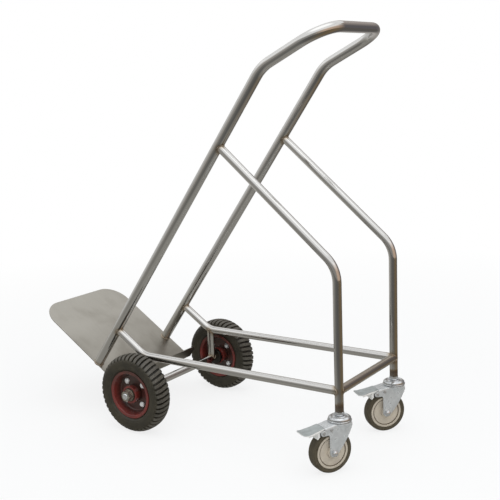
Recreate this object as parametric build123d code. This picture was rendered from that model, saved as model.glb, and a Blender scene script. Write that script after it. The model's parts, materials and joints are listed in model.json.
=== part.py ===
from build123d import *
import math
import os

# Oxygen cylinder trolley: a welded tube frame on two front wheels and two braked swivel casters.
# Millimetres and degrees. +X points to the toe plate, +Y to the left, +Z up. The floor is Z = 0.

# Side frames
SIDE_SPACING = 278.0  # between the centre planes of the left and the right side frame
MAIN_TUBE = 25.0  # outside diameter of the uprights and the handle
MAIN_WALL = 1.5
THIN_TUBE = 20.0  # outside diameter of the legs, rails, crossbar and axle tube
THIN_WALL = 1.2
WELD_GAP = 0.4  # fit-up gap that a weld bead closes

# Uprights and handle
FOOT_AHEAD = 166.5  # foot of the uprights ahead of the front axle
FOOT_HEIGHT = 141.0  # foot of the uprights above the floor
UPRIGHT_LEAN = 36.1  # back from the vertical
UPRIGHT_LENGTH = 932.5  # from the foot to the bend into the handle
HANDLE_LEAN = 64.0  # of the handle arms, back from the vertical
HANDLE_REACH = 179.5  # from that bend to the hand grip
HANDLE_BEND = 95.0  # radius of the bend between upright and handle arm
GRIP_BEND = 68.0  # radius of the two corners of the hand grip

# Rear legs
LEG_SETBACK = 561.4  # vertical part of the legs behind the front axle
LEG_JOINT = 719.0  # where a leg meets its upright, along the upright from the foot
LEG_SLOPE = 40.5  # of the upper part of a leg, below the horizontal
LEG_BEND = 72.0

# Side rails, rear crossbar and front axle tube
RAIL_HEIGHT = 183.0
RAIL_JOINT = 126.0  # where a rail meets its upright, along the upright from the foot
RAIL_KNEE_AHEAD = 4.0  # bend of the rail ahead of the front axle
RAIL_BEND = 60.0
AXLE_TUBE_OVERHANG = 1.0  # past the outside of the axle posts
SHAFT_FIT = 0.8  # radial, between the axle tube and the shaft in it

# Toe plate
PLATE_TILT = 33.2  # front edge raised
PLATE_SIDE = 9.8  # edge of the plate outside the middle of the uprights
PLATE_AHEAD = 238.0  # from the feet of the uprights to the front edge, along the plate
PLATE_BEHIND = 95.8  # from the feet of the uprights to the rear flange
PLATE_SHEET = 3.0
PLATE_CORNER = 62.0  # radius of the two front corners
FLANGE_HEIGHT = 39.5  # upturned rear flange, square to the plate
FLANGE_BEND = 4.0  # inside radius
FLANGE_CORNER = 12.0  # radius of the two top corners of the flange

# Front wheels
WHEEL_DIAMETER = 200.0
WHEEL_OFFSET = 47.3  # middle of a tyre outside the middle plane of its side frame
TYRE_WIDTH = 54.4
TREAD_WIDTH = 31.0  # flat crown
SHOULDER_WIDTH = 50.5  # where the shoulder meets the sidewall
SHOULDER_DROP = 9.0
SIDEWALL_DROP = 21.0  # from the crown to the widest part of the tyre
LUG_COUNT = 46
LUG_GROOVE = 5.6  # width of the groove between two lugs
LUG_DEPTH = 5.5
LUG_SLANT = 8.0
BOLT_TURN = {"left": 50.0, "right": 41.0}  # first rim bolt, from +X towards +Z

# Split rim of two pressed halves
RIM_DIAMETER = 123.4  # over the flange lip
RIM_WIDTH = 46.0
RIM_SHEET = 2.5
RIM_LIP = 5.2  # height of the flange lip above the bead seat
RIM_DISC_DIAMETER = 92.0  # flat of the disc inside the barrel
RIM_PRESS = 4.0  # inside radius between disc and barrel
RIM_ROLL = 2.5  # radius where the barrel turns out into the flange lip
BEAD_GAP = 0.4  # between tyre and rim
BOLT_CIRCLE = 71.5
BOLT_COUNT = 4
BOLT_DIAMETER = 8.0
BOLT_HEX = 13.0  # across the flats
BOLT_HEAD = 5.3
BOLT_NUT = 6.5
BOLT_TAIL = 3.5  # thread that stands out of its nut

# Hub, bearings and axle
HUB_DIAMETER = 45.0
HUB_BORE = 24.0
BEARING_DIAMETER = 35.0
BEARING_WIDTH = 11.0
SHAFT_DIAMETER = 16.0
SHAFT_TAIL = 2.0  # shaft end past the axle nut
SPACER_DIAMETER = 42.0
SPACER_NOSE_DIAMETER = 24.0
SPACER_NOSE = 3.0
WASHER_DIAMETER = 30.0
WASHER_THICKNESS = 3.0
AXLE_HEX = 24.0  # across the flats
AXLE_NUT = 13.0

# Fits
RUNNING_GAP = 0.05  # radial, between a turning bore and its pin
SIDE_PLAY = 0.4  # along the axis, between turning and standing faces
CLEAR_GAP = 0.15  # radial, between a bolt and its hole or a plug and its tube

# Caster wheels
CASTER_DIAMETER = 100.0
CASTER_WIDTH = 28.0
CASTER_TREAD_FLAT = 18.0
CASTER_SHOULDER = 4.0
CORE_DIAMETER = 78.0
CORE_WIDTH = 25.0
CORE_LIP = 5.4  # width of the raised rim on each side of the core
CORE_GROOVE = 2.0  # width of the groove inside that rim
CORE_GROOVE_DEPTH = 3.5
CORE_RECESS = 1.2  # face of the disc behind the raised rim
CORE_DISH = 1.4  # further fall of the disc towards the hub
CORE_HUB_DIAMETER = 26.0
BUSH_DIAMETER = 14.0

# Caster forks
TRAIL = 26.5  # wheel axle behind the swivel axis
SWIVEL_TURN = {"left": 60.0, "right": 49.5}  # of the trailing direction, from +X towards +Y
FORK_SHEET = 2.5
FORK_SIDE_GAP = 3.0  # between wheel and cheek
CROWN_GAP = 12.5  # above the wheel
CROWN_DIAMETER = 53.0
CROWN_EDGE = 1.6  # rounding of the crown's round edge
CROWN_SWELL = 22.0  # height over which the cheeks flare out to the round crown
CROWN_BEND = 5.0  # outside radius between crown and cheek
CHEEK_BACK = 21.5  # back edge of the cheek from the swivel axis
CHEEK_BACK_DROP = 9.0
CHEEK_BOW = 3.5  # of the back edge, out from a straight line
BOSS_RADIUS = 10.0  # of the cheek round the wheel axle
CROWN_FLAT_AHEAD = 26.0  # where the crown starts to slope down
CROWN_AHEAD = 48.0  # front edge of the crown
CROWN_SLOPE = 10.6
CHEEK_CORNER = 5.0
CASTER_BOLT_DIAMETER = 8.0
CASTER_BOLT_HEX = 13.0
CASTER_BOLT_HEAD = 5.5
CASTER_NUT = 6.5
CASTER_NUT_DOME = 3.2

# Swivel head, from the crown up to the leg
SWIVEL_GAP = 1.0  # between crown and cap
CAP_DIAMETER = 55.0
CAP_HEIGHT = 11.0
CAP_SHEET = 2.6
CAP_HUB_DIAMETER = 25.0
CAP_CREST_DIAMETER = 42.0  # top of the pressed ring that holds the ball track
CAP_DISH = 2.4  # depth of the dish between that ring and the stem nut
CAP_LIP = 2.0  # upright edge at the foot of the cap
CAP_ROUND = 2.2  # rounding of the crest
STEM_DIAMETER = 12.0
STEM_NUT = 9.5
STEM_HEX = 19.0
STEM_HEAD_DIAMETER = 22.0
STEM_HEAD = 3.2
STEM_REACH = 28.0  # up into the leg
PLUG_LENGTH = 32.0
BALL_RING_DIAMETER = 39.0  # middle of the ball track
BALL_RING_WIDTH = 5.0

# Brake
PIVOT_AHEAD = 52.0  # pedal pin from the swivel axis
PIN_GAP = 3.4  # between pedal pin and tread
PIVOT_EYE_RADIUS = 6.5  # end of the cheek arm round the pin
PIN_DIAMETER = 5.0
RIVET_HEAD_DIAMETER = 8.0
RIVET_HEAD = 1.3
PEDAL_SHEET = 2.0
PEDAL_GAP = 1.0  # between crown edge and pedal
PEDAL_END = 101.0  # tip from the swivel axis
PEDAL_LIP = 11.0  # length of the raised tip
PEDAL_LIP_RISE = 1.2  # of the tip's edge above its crease
PEDAL_WAIST = 37.0  # width at the pin
PEDAL_TIP_WIDTH = 42.0
PEDAL_WAIST_END = 66.0  # where the pedal starts to widen
PEDAL_FLARE_END = 90.0
PEDAL_TIP_CORNER = 7.0
PEDAL_HEM = 3.0  # depth of the rolled-down edges
PEDAL_HEM_SHEET = 1.6
EAR_GAP = 0.5  # between pedal ear and wheel, and between ear and cheek
EAR_RADIUS = 5.2
SHOE_START = 60.0
SHOE_END = 66.0
SHOE_GAP = 3.9  # between brake shoe and tread with the brake off
LEAF_SHEET = 1.2
LEAF_WIDTH = 14.0
LEAF_RIVET_AHEAD = 33.0
LEAF_RIVET_DIAMETER = 4.0
LEAF_RISE = 2.4  # top of the leaf above the top of the wheel
LEAF_FRONT = 45.0
LEAF_KNEE = -8.0
LEAF_TAIL = -25.0
LEAF_TAIL_DROP = 8.0

LEFT = 1
RIGHT = -1
SIDES = {"left": LEFT, "right": RIGHT}


# Places worked out from the sizes above

side_y = SIDE_SPACING / 2
wheel_radius = WHEEL_DIAMETER / 2
wheel_y = side_y + WHEEL_OFFSET
plate_half = side_y + PLATE_SIDE
caster_radius = CASTER_DIAMETER / 2
lean = math.radians(UPRIGHT_LEAN)
tilt = math.radians(PLATE_TILT)

# The trolley reaches from the rear swivel caps to the front edge of the toe plate, with X = 0 midway.
front_reach = FOOT_AHEAD + PLATE_AHEAD * math.cos(tilt)
rear_reach = LEG_SETBACK + CAP_DIAMETER / 2
axle_x = (rear_reach - front_reach) / 2

up_the_frame = Vector(-math.sin(lean), 0, math.cos(lean))
along_the_arm = Vector(-math.sin(math.radians(HANDLE_LEAN)), 0, math.cos(math.radians(HANDLE_LEAN)))
foot = Vector(axle_x + FOOT_AHEAD, 0, FOOT_HEIGHT)
handle_bend = foot + up_the_frame * UPRIGHT_LENGTH
grip = handle_bend + along_the_arm * HANDLE_REACH
leg_joint = foot + up_the_frame * LEG_JOINT
leg_x = axle_x - LEG_SETBACK
leg_knee = Vector(leg_x, 0, leg_joint.Z - (leg_joint.X - leg_x) * math.tan(math.radians(LEG_SLOPE)))
rail_joint = foot + up_the_frame * RAIL_JOINT
rail_knee = Vector(axle_x + RAIL_KNEE_AHEAD, 0, RAIL_HEIGHT)

crown_bottom = CASTER_DIAMETER + CROWN_GAP
crown_top = crown_bottom + FORK_SHEET
cap_bottom = crown_top + SWIVEL_GAP
cap_top = cap_bottom + CAP_HEIGHT
leg_bottom = cap_top + STEM_NUT
axle_tube_end = side_y + THIN_TUBE / 2 + AXLE_TUBE_OVERHANG
hub_half = RIM_WIDTH / 2
washer_y = wheel_y + hub_half + SIDE_PLAY
axle_nut_y = washer_y + WASHER_THICKNESS
shaft_end = axle_nut_y + AXLE_NUT + SHAFT_TAIL

# The plate's own frame: x runs forward along the plate, z stands up from its top face.
plate_frame = Plane(
    origin=foot,
    x_dir=(math.cos(tilt), 0, math.sin(tilt)),
    z_dir=(-math.sin(tilt), 0, math.cos(tilt)),
)


# Shaping helpers


def at_side(point, side):
    """The point moved from the middle plane to the left or right side frame."""
    return Vector(point.X, side * side_y, point.Z)


def section_plane(path):
    """The plane square to a path at its start."""
    return Plane(origin=path @ 0, z_dir=path % 0)


def tube(path, outside, wall):
    """A round tube along a path."""
    section = Circle(outside / 2) - Circle(outside / 2 - wall)
    return sweep(section_plane(path) * section, path=path)


def bar(path, outside):
    """The full round outside of a tube along a path."""
    return sweep(section_plane(path) * Circle(outside / 2), path=path)


def turned(points):
    """A solid turned about the Y axis from points of (radius, distance along Y)."""
    profile = make_face(Polyline(*points, close=True))
    return revolve(profile, axis=Axis.Y)


def turned_upright(points):
    """A solid turned about the Z axis from points of (radius, height)."""
    return spun_upright(Polyline(*points, close=True))


def spun(*curves):
    """A solid turned about the Y axis from curves that close round its section."""
    return revolve(make_face(Curve() + list(curves)), axis=Axis.Y)


def spun_upright(*curves):
    """A solid turned about the Z axis from curves of (radius, height) that close round its section."""
    return revolve(Plane.XZ * make_face(Curve() + list(curves)), axis=Axis.Z)


def with_mirror(curves):
    """Curves of half a section, together with their mirror images at negative Y."""
    return curves + [mirror(curve, about=Plane.XZ) for curve in curves]


def rounded(face, *corners):
    """A face with some corners rounded, each given by its place and radius."""
    for place, radius in corners:
        face = fillet(face.vertices().sort_by_distance(place)[0], radius)
    return face


def ring(outside, inside, start, end):
    """A plain ring about the Y axis between two distances along it."""
    return turned([(inside / 2, start), (outside / 2, start), (outside / 2, end), (inside / 2, end)])


def rod(diameter, start, end):
    """A plain rod about the Y axis between two distances along it."""
    return turned([(0, start), (diameter / 2, start), (diameter / 2, end), (0, end)])


def hexagon(across_flats, start, end):
    """A hexagonal bar along the Y axis between two distances along it."""
    outline = RegularPolygon(across_flats / 2, 6, major_radius=False)
    return Pos(0, start, 0) * Rot(-90, 0, 0) * extrude(outline, end - start)


def side_slab(outline, half_width):
    """An outline in the X-Z plane thickened equally to both sides."""
    return extrude(Plane.XZ * outline, half_width, both=True)


def both_sides(piece):
    """A piece of the left side together with its mirror image on the right."""
    return piece + mirror(piece, about=Plane.XZ)


def tangent_point(outside, centre, radius):
    """Where a line from an outside point touches the far lower side of a circle, in the plane of a cheek."""
    across = centre - outside
    reach = math.sqrt(across.length**2 - radius**2)
    turn = math.atan2(across.Y, across.X) - math.asin(radius / across.length)
    return outside + Vector(math.cos(turn), math.sin(turn)) * reach


# Centre lines of the tubes


def handle_line():
    """Up the left upright, round the hand grip and down the right upright."""
    below = foot - up_the_frame * MAIN_TUBE
    corners = [at_side(below, LEFT), at_side(handle_bend, LEFT), at_side(grip, LEFT)]
    corners += [at_side(grip, RIGHT), at_side(handle_bend, RIGHT), at_side(below, RIGHT)]
    return FilletPolyline(*corners, radius=[HANDLE_BEND, GRIP_BEND, GRIP_BEND, HANDLE_BEND])


def leg_line(side):
    """From the upright down to the caster."""
    end = Vector(leg_x, 0, leg_bottom)
    corners = [at_side(point, side) for point in (leg_joint, leg_knee, end)]
    return FilletPolyline(*corners, radius=[LEG_BEND])


def rail_line(side):
    """From the upright down and back to the rear leg."""
    end = Vector(leg_x, 0, RAIL_HEIGHT)
    corners = [at_side(point, side) for point in (rail_joint, rail_knee, end)]
    return FilletPolyline(*corners, radius=[RAIL_BEND])


def post_line(side):
    """From the axle tube straight up to the rail."""
    axle = Vector(axle_x, 0, wheel_radius)
    rail = Vector(axle_x, 0, RAIL_HEIGHT)
    return Line(at_side(axle, side), at_side(rail, side))


def cross_line(x, z, half_length):
    """Level across the trolley."""
    return Line((x, -half_length, z), (x, half_length, z))


def coped(piece, *mates):
    """A tube cut back to leave the fit-up gap round the tubes that it is welded to."""
    for line, outside in mates:
        piece = piece - bar(line, outside + 2 * WELD_GAP)
    return piece


# Welded frame


def make_handle_frame():
    plate_underside = plate_frame * Pos(0, 0, -PLATE_SHEET)
    below = plate_underside * Pos(0, 0, -MAIN_TUBE) * Box(3 * PLATE_BEHIND, 4 * plate_half, 2 * MAIN_TUBE)
    return tube(handle_line(), MAIN_TUBE, MAIN_WALL) - below


def make_toe_plate():
    rear = -PLATE_BEHIND
    section = Polyline(
        (PLATE_AHEAD, 0),
        (rear + PLATE_SHEET, 0),
        (rear + PLATE_SHEET, FLANGE_HEIGHT),
        (rear, FLANGE_HEIGHT),
        (rear, -PLATE_SHEET),
        (PLATE_AHEAD, -PLATE_SHEET),
        close=True,
    )
    outline = rounded(
        make_face(section),
        ((rear + PLATE_SHEET, 0), FLANGE_BEND),
        ((rear, -PLATE_SHEET), FLANGE_BEND + PLATE_SHEET),
    )
    sheet = side_slab(outline, plate_half)

    length = PLATE_AHEAD + PLATE_BEHIND
    plan = Pos((PLATE_AHEAD - PLATE_BEHIND) / 2, 0) * Rectangle(length, 2 * plate_half)
    plan = fillet(plan.vertices().group_by(Axis.X)[-1], PLATE_CORNER)
    height = 4 * FLANGE_HEIGHT
    sheet = sheet & extrude(plan, height, both=True)

    flange_face = Rectangle(2 * plate_half, 2 * FLANGE_HEIGHT)
    flange_face = fillet(flange_face.vertices(), FLANGE_CORNER)
    flange_depth = PLATE_BEHIND / 4
    keep = extrude(Plane.YZ * flange_face, flange_depth, both=True)
    keep = Pos(rear, 0, 0) * keep
    ahead = Pos(PLATE_AHEAD, 0, 0) * Box(2 * (length - flange_depth), 4 * plate_half, height)
    sheet = sheet & (keep + ahead)
    return coped(plate_frame * sheet, (handle_line(), MAIN_TUBE))


def make_rear_leg(side):
    leg = tube(leg_line(side), THIN_TUBE, THIN_WALL)
    return coped(leg, (handle_line(), MAIN_TUBE))


def make_side_rail(side):
    rail = tube(rail_line(side), THIN_TUBE, THIN_WALL)
    return coped(rail, (handle_line(), MAIN_TUBE), (leg_line(side), THIN_TUBE))


def make_rear_crossbar():
    crossbar = tube(cross_line(leg_x, RAIL_HEIGHT, side_y), THIN_TUBE, THIN_WALL)
    legs = [(leg_line(side), THIN_TUBE) for side in (LEFT, RIGHT)]
    rails = [(rail_line(side), THIN_TUBE) for side in (LEFT, RIGHT)]
    return coped(crossbar, *legs, *rails)


def axle_line():
    return cross_line(axle_x, wheel_radius, axle_tube_end)


def make_axle_tube():
    wall = (THIN_TUBE - SHAFT_DIAMETER) / 2 - SHAFT_FIT
    return tube(axle_line(), THIN_TUBE, wall)


def make_axle_post(side):
    post = tube(post_line(side), THIN_TUBE, THIN_WALL)
    return coped(post, (rail_line(side), THIN_TUBE), (axle_line(), THIN_TUBE))


# Front axle

on_axle = Pos(axle_x, 0, wheel_radius)


def make_axle_shaft():
    return on_axle * rod(SHAFT_DIAMETER, -shaft_end, shaft_end)


def make_hub_spacers():
    hub_face = wheel_y - hub_half - SIDE_PLAY
    bore = SHAFT_DIAMETER / 2 + CLEAR_GAP
    spacer = turned(
        [
            (bore, axle_tube_end),
            (SPACER_DIAMETER / 2, axle_tube_end),
            (SPACER_DIAMETER / 2, hub_face - SPACER_NOSE),
            (SPACER_NOSE_DIAMETER / 2, hub_face - SPACER_NOSE),
            (SPACER_NOSE_DIAMETER / 2, hub_face),
            (bore, hub_face),
        ]
    )
    return on_axle * both_sides(spacer)


def make_axle_washers():
    bore = SHAFT_DIAMETER + 2 * CLEAR_GAP
    return on_axle * both_sides(ring(WASHER_DIAMETER, bore, washer_y, axle_nut_y))


def make_axle_nuts():
    end = axle_nut_y + AXLE_NUT
    bore = rod(SHAFT_DIAMETER + 2 * CLEAR_GAP, axle_nut_y, end)
    return on_axle * both_sides(hexagon(AXLE_HEX, axle_nut_y, end) - bore)


# Front wheels, each made about the Y axis with its outer face towards +Y

lip_radius = RIM_DIAMETER / 2
seat_radius = lip_radius - RIM_LIP
rim_half = RIM_WIDTH / 2
disc_radius = RIM_DISC_DIAMETER / 2
well_radius = disc_radius + RIM_SHEET
bolt_radius = BOLT_CIRCLE / 2


def bolt_places(turn):
    """Places of the rim bolts round the wheel's axis."""
    step = 360 / BOLT_COUNT
    return [Rot(0, -(turn + step * k), 0) * Pos(bolt_radius, 0, 0) for k in range(BOLT_COUNT)]


def make_tyre():
    crown = wheel_radius
    bead = rim_half - RIM_SHEET - BEAD_GAP
    bead_foot = lip_radius + BEAD_GAP
    widest = (crown - SIDEWALL_DROP, TYRE_WIDTH / 2)
    shoulder = (crown - SHOULDER_DROP, SHOULDER_WIDTH / 2)
    tread_edge = (crown, TREAD_WIDTH / 2)
    half = [
        Polyline((well_radius + BEAD_GAP, 0), (seat_radius + BEAD_GAP, bead), (bead_foot, bead)),
        Line((bead_foot, bead), (bead_foot, rim_half)),
        ThreePointArc((bead_foot, rim_half), widest, shoulder),
        Polyline(shoulder, tread_edge, (crown, 0)),
    ]
    body = spun(*with_mirror(half))
    groove = Pos(0, 0, crown) * Rot(0, 0, LUG_SLANT) * Box(LUG_GROOVE, 2 * TYRE_WIDTH, 2 * LUG_DEPTH)
    grooves = [Rot(0, 360 * k / LUG_COUNT, 0) * groove for k in range(LUG_COUNT)]
    return body - grooves


def make_rim_half():
    """The half that lies towards +Y, its flat disc on the wheel's middle plane."""
    bore = HUB_DIAMETER / 2 + CLEAR_GAP
    turn_out = (seat_radius - RIM_SHEET, rim_half)
    disc_corner = (disc_radius, RIM_SHEET)
    section = Polyline(
        (bore, 0),
        (well_radius, 0),
        (seat_radius, rim_half - RIM_SHEET),
        (lip_radius, rim_half - RIM_SHEET),
        (lip_radius, rim_half),
        turn_out,
        disc_corner,
        (bore, RIM_SHEET),
        close=True,
    )
    barrel_turn = math.atan2(turn_out[1] - disc_corner[1], turn_out[0] - disc_corner[0])
    bolt_room = disc_radius - bolt_radius - BOLT_HEX / math.sqrt(3)
    press = min(RIM_PRESS, bolt_room / math.tan(barrel_turn / 2))
    pressed = rounded(make_face(section), (disc_corner, press), (turn_out, RIM_ROLL))
    return revolve(pressed, axis=Axis.Y)


def drilled(half, turn):
    hole = rod(BOLT_DIAMETER + 2 * CLEAR_GAP, -2 * RIM_SHEET, 2 * RIM_SHEET)
    return half - [place * hole for place in bolt_places(turn)]


def make_hub():
    pocket = rim_half - BEARING_WIDTH
    body = rod(HUB_DIAMETER, -rim_half, rim_half) - rod(HUB_BORE, -rim_half, rim_half)
    seat = rod(BEARING_DIAMETER, pocket, rim_half)
    return body - both_sides(seat)


def make_wheel_bearings():
    bore = SHAFT_DIAMETER + 2 * RUNNING_GAP
    outside = BEARING_DIAMETER - 2 * CLEAR_GAP
    return both_sides(ring(outside, bore, rim_half - BEARING_WIDTH, rim_half))


def make_rim_bolts(turn):
    head = hexagon(BOLT_HEX, RIM_SHEET, RIM_SHEET + BOLT_HEAD)
    shank = rod(BOLT_DIAMETER, -RIM_SHEET - BOLT_NUT - BOLT_TAIL, RIM_SHEET)
    return Part() + [place * (head + shank) for place in bolt_places(turn)]


def make_rim_nuts(turn):
    far = -RIM_SHEET - BOLT_NUT
    bore = rod(BOLT_DIAMETER + 2 * CLEAR_GAP, far, -RIM_SHEET)
    nut = hexagon(BOLT_HEX, far, -RIM_SHEET) - bore
    return Part() + [place * nut for place in bolt_places(turn)]


def front_wheel(name):
    """The pieces of one front wheel in their places on the axle."""
    turn = BOLT_TURN[name]
    rim_outer = make_rim_half()
    rim_inner = mirror(rim_outer, about=Plane.XZ)
    pieces = {
        "tyre": make_tyre(),
        "rim_outer": drilled(rim_outer, turn),
        "rim_inner": drilled(rim_inner, turn),
        "hub": make_hub(),
        "wheel_bearings": make_wheel_bearings(),
        "rim_bolts": make_rim_bolts(turn),
        "rim_nuts": make_rim_nuts(turn),
    }
    if SIDES[name] == RIGHT:
        pieces = {piece: mirror(solid, about=Plane.XZ) for piece, solid in pieces.items()}
    place = on_axle * Pos(0, SIDES[name] * wheel_y, 0)
    return {f"{piece}_{name}": place * solid for piece, solid in pieces.items()}


# Swivel heads, which stay with the legs

on_left_leg = Pos(leg_x, side_y, 0)


def make_leg_plugs():
    outside = THIN_TUBE / 2 - THIN_WALL - CLEAR_GAP
    bore = STEM_DIAMETER / 2 + CLEAR_GAP
    top = leg_bottom + PLUG_LENGTH
    plug = turned_upright([(bore, leg_bottom), (outside, leg_bottom), (outside, top), (bore, top)])
    return both_sides(on_left_leg * plug)


def make_caster_stems():
    head_top = crown_bottom - SIDE_PLAY
    head_bottom = head_top - STEM_HEAD
    stem = turned_upright(
        [
            (0, head_bottom),
            (STEM_HEAD_DIAMETER / 2, head_bottom),
            (STEM_HEAD_DIAMETER / 2, head_top),
            (STEM_DIAMETER / 2, head_top),
            (STEM_DIAMETER / 2, leg_bottom + STEM_REACH),
            (0, leg_bottom + STEM_REACH),
        ]
    )
    return both_sides(on_left_leg * stem)


def make_stem_nuts():
    nut = Pos(0, 0, cap_top) * extrude(RegularPolygon(STEM_HEX / 2, 6, major_radius=False), STEM_NUT)
    bore = Pos(0, 0, cap_top) * extrude(Circle(STEM_DIAMETER / 2 + CLEAR_GAP), STEM_NUT)
    return both_sides(on_left_leg * (nut - bore))


def make_swivel_caps():
    bore = STEM_DIAMETER / 2 + CLEAR_GAP
    edge = CAP_DIAMETER / 2
    hub = CAP_HUB_DIAMETER / 2
    crest = CAP_CREST_DIAMETER / 2
    dish = (hub + crest) / 2
    inner_edge = edge - CAP_SHEET
    lip_top = cap_bottom + CAP_LIP
    under = cap_top - CAP_SHEET
    section = [
        Polyline((bore, under), (bore, cap_top), (hub, cap_top)),
        ThreePointArc((hub, cap_top), (dish, cap_top - CAP_DISH), (crest, cap_top)),
        TangentArc((edge, lip_top), (crest, cap_top), tangent=(0, 1)),
        Polyline((edge, lip_top), (edge, cap_bottom), (inner_edge, cap_bottom), (inner_edge, lip_top)),
        Polyline((inner_edge, lip_top), (crest, under), (dish, under - CAP_DISH), (hub, under)),
        Line((hub, under), (bore, under)),
    ]
    pressed = rounded(make_face(Curve() + section), ((crest, cap_top), CAP_ROUND))
    cap = revolve(Plane.XZ * pressed, axis=Axis.Z)
    return both_sides(on_left_leg * cap)


def make_ball_rings():
    inside = (BALL_RING_DIAMETER - BALL_RING_WIDTH) / 2
    outside = (BALL_RING_DIAMETER + BALL_RING_WIDTH) / 2
    bottom = crown_top + SIDE_PLAY
    top = cap_top - CAP_DISH - CAP_SHEET
    race = turned_upright([(inside, bottom), (outside, bottom), (outside, top), (inside, top)])
    return both_sides(on_left_leg * race)


# Casters, each made with its swivel axis on Z and its trailing direction along +X

wheel_centre = Vector(TRAIL, caster_radius)
cheek_inside = CASTER_WIDTH / 2 + FORK_SIDE_GAP
cheek_outside = cheek_inside + FORK_SHEET
pin_reach = caster_radius + PIN_GAP + PIN_DIAMETER / 2
pivot = Vector(PIVOT_AHEAD, caster_radius + math.sqrt(pin_reach**2 - (PIVOT_AHEAD - TRAIL) ** 2))
crown_fall = math.tan(math.radians(CROWN_SLOPE))
ear_inside = CASTER_WIDTH / 2 + EAR_GAP
ear_outside = cheek_inside - EAR_GAP


def slope_height(x):
    """Height of the sloping top of crown and pedal at a distance ahead of the swivel axis."""
    return crown_top - (x - CROWN_FLAT_AHEAD) * crown_fall


def across_cheeks(diameter, place, half_length):
    """A rod across the fork at a place in the plane of a cheek."""
    return Pos(place.X, 0, place.Y) * rod(diameter, -half_length, half_length)


leaf_top = CASTER_DIAMETER + LEAF_RISE
leaf_rivet = Vector(LEAF_RIVET_AHEAD, leaf_top + LEAF_RIVET_DIAMETER / 2)


def crown_swell(inset):
    """The flare from the cheeks out to the round crown, drawn in by an inset."""
    rim = CROWN_DIAMETER / 2 - inset
    foot_radius = cheek_outside - inset
    bottom = crown_bottom - CROWN_SWELL
    flare = TangentArc((foot_radius, bottom), (rim, crown_bottom), tangent=(0, 1))
    closing = Polyline((rim, crown_bottom), (0, crown_bottom), (0, bottom), (foot_radius, bottom))
    return spun_upright(flare, closing)


def crown_disc():
    """The round top of the fork with its edge rounded."""
    disc = Pos(0, 0, crown_bottom) * extrude(Circle(CROWN_DIAMETER / 2), FORK_SHEET)
    return fillet(disc.edges().group_by(Axis.Z)[-1], CROWN_EDGE)


def top_bends(block, above):
    """The long top edges of a fork block, above a height and behind the crown's front edge."""
    edges = [e for e in block.edges() if e.center().Z > above and e.center().X < CROWN_AHEAD]
    return [e for e in edges if abs((e % 0.5).X) > abs((e % 0.5).Z)]


def make_fork():
    back = Vector(-CHEEK_BACK, crown_top - CHEEK_BACK_DROP)
    boss_touch = tangent_point(back, wheel_centre, BOSS_RADIUS)
    down_the_back = (boss_touch - back).normalized()
    bow = Vector(down_the_back.Y, -down_the_back.X) * CHEEK_BOW
    trailing_edge = TRAIL + BOSS_RADIUS
    arm_bottom = pivot.Y - PIVOT_EYE_RADIUS
    arm_top = pivot.Y + PIVOT_EYE_RADIUS
    corner = Vector(trailing_edge, arm_bottom)
    outline = Polyline(
        back,
        (-CHEEK_BACK, crown_top),
        (CROWN_FLAT_AHEAD, crown_top),
        (CROWN_AHEAD, slope_height(CROWN_AHEAD)),
        (CROWN_AHEAD, arm_top),
        (pivot.X, arm_top),
        (pivot.X, arm_bottom),
        corner,
        (trailing_edge, wheel_centre.Y),
        wheel_centre,
        boss_touch,
    )
    back_edge = ThreePointArc(boss_touch, (back + boss_touch) / 2 + bow, back)
    cheek = rounded(make_face(Curve() + [outline, back_edge]), (corner, CHEEK_CORNER))
    cheek = cheek + Pos(pivot.X, pivot.Y) * Circle(PIVOT_EYE_RADIUS)
    cheek = cheek + Pos(wheel_centre.X, wheel_centre.Y) * Circle(BOSS_RADIUS)
    block = side_slab(cheek, cheek_outside)
    block = fillet(top_bends(block, arm_top + FORK_SHEET), CROWN_BEND)

    reach = 2 * PEDAL_END
    underside = make_face(
        Polyline(
            (-reach, crown_bottom),
            (CROWN_FLAT_AHEAD, crown_bottom),
            (CROWN_AHEAD, slope_height(CROWN_AHEAD) - FORK_SHEET),
            (CROWN_AHEAD, crown_top),
            (reach, crown_top),
            (reach, -CASTER_DIAMETER),
            (-reach, -CASTER_DIAMETER),
            close=True,
        )
    )
    inside = side_slab(underside, cheek_inside)
    inside = fillet(top_bends(inside, arm_top), CROWN_BEND - FORK_SHEET)
    fork = block + crown_swell(0) + crown_disc() - inside - crown_swell(FORK_SHEET)
    fork = fork - extrude(Circle(STEM_DIAMETER / 2 + RUNNING_GAP), 2 * crown_top)
    for diameter, place in (
        (CASTER_BOLT_DIAMETER, wheel_centre),
        (PIN_DIAMETER, pivot),
        (LEAF_RIVET_DIAMETER, leaf_rivet),
    ):
        fork = fork - across_cheeks(diameter + 2 * CLEAR_GAP, place, 2 * cheek_outside)
    return fork


def make_caster_tread():
    inside = CORE_DIAMETER / 2 + CLEAR_GAP
    shoulder = (caster_radius - CASTER_SHOULDER, CASTER_WIDTH / 2)
    tread_edge = (caster_radius, CASTER_TREAD_FLAT / 2)
    half = [
        Polyline((inside, 0), (inside, CORE_WIDTH / 2), shoulder),
        TangentArc(tread_edge, shoulder, tangent=(0, 1)),
        Line(tread_edge, (caster_radius, 0)),
    ]
    return spun(*with_mirror(half))


def make_caster_core():
    face = CORE_WIDTH / 2
    recess = face - CORE_RECESS
    rim_inside = CORE_DIAMETER / 2 - CORE_LIP
    disc_outside = rim_inside - CORE_GROOVE
    hub_radius = CORE_HUB_DIAMETER / 2
    hub_face = cheek_inside - SIDE_PLAY
    bore = BUSH_DIAMETER / 2 + RUNNING_GAP
    half = [
        (bore, hub_face),
        (hub_radius, hub_face),
        (hub_radius, recess - CORE_DISH),
        (disc_outside, recess),
        (disc_outside, face - CORE_GROOVE_DEPTH),
        (rim_inside, face - CORE_GROOVE_DEPTH),
        (rim_inside, face),
        (CORE_DIAMETER / 2, face),
    ]
    other_half = [(radius, -along) for radius, along in reversed(half)]
    return turned(half + other_half)


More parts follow.
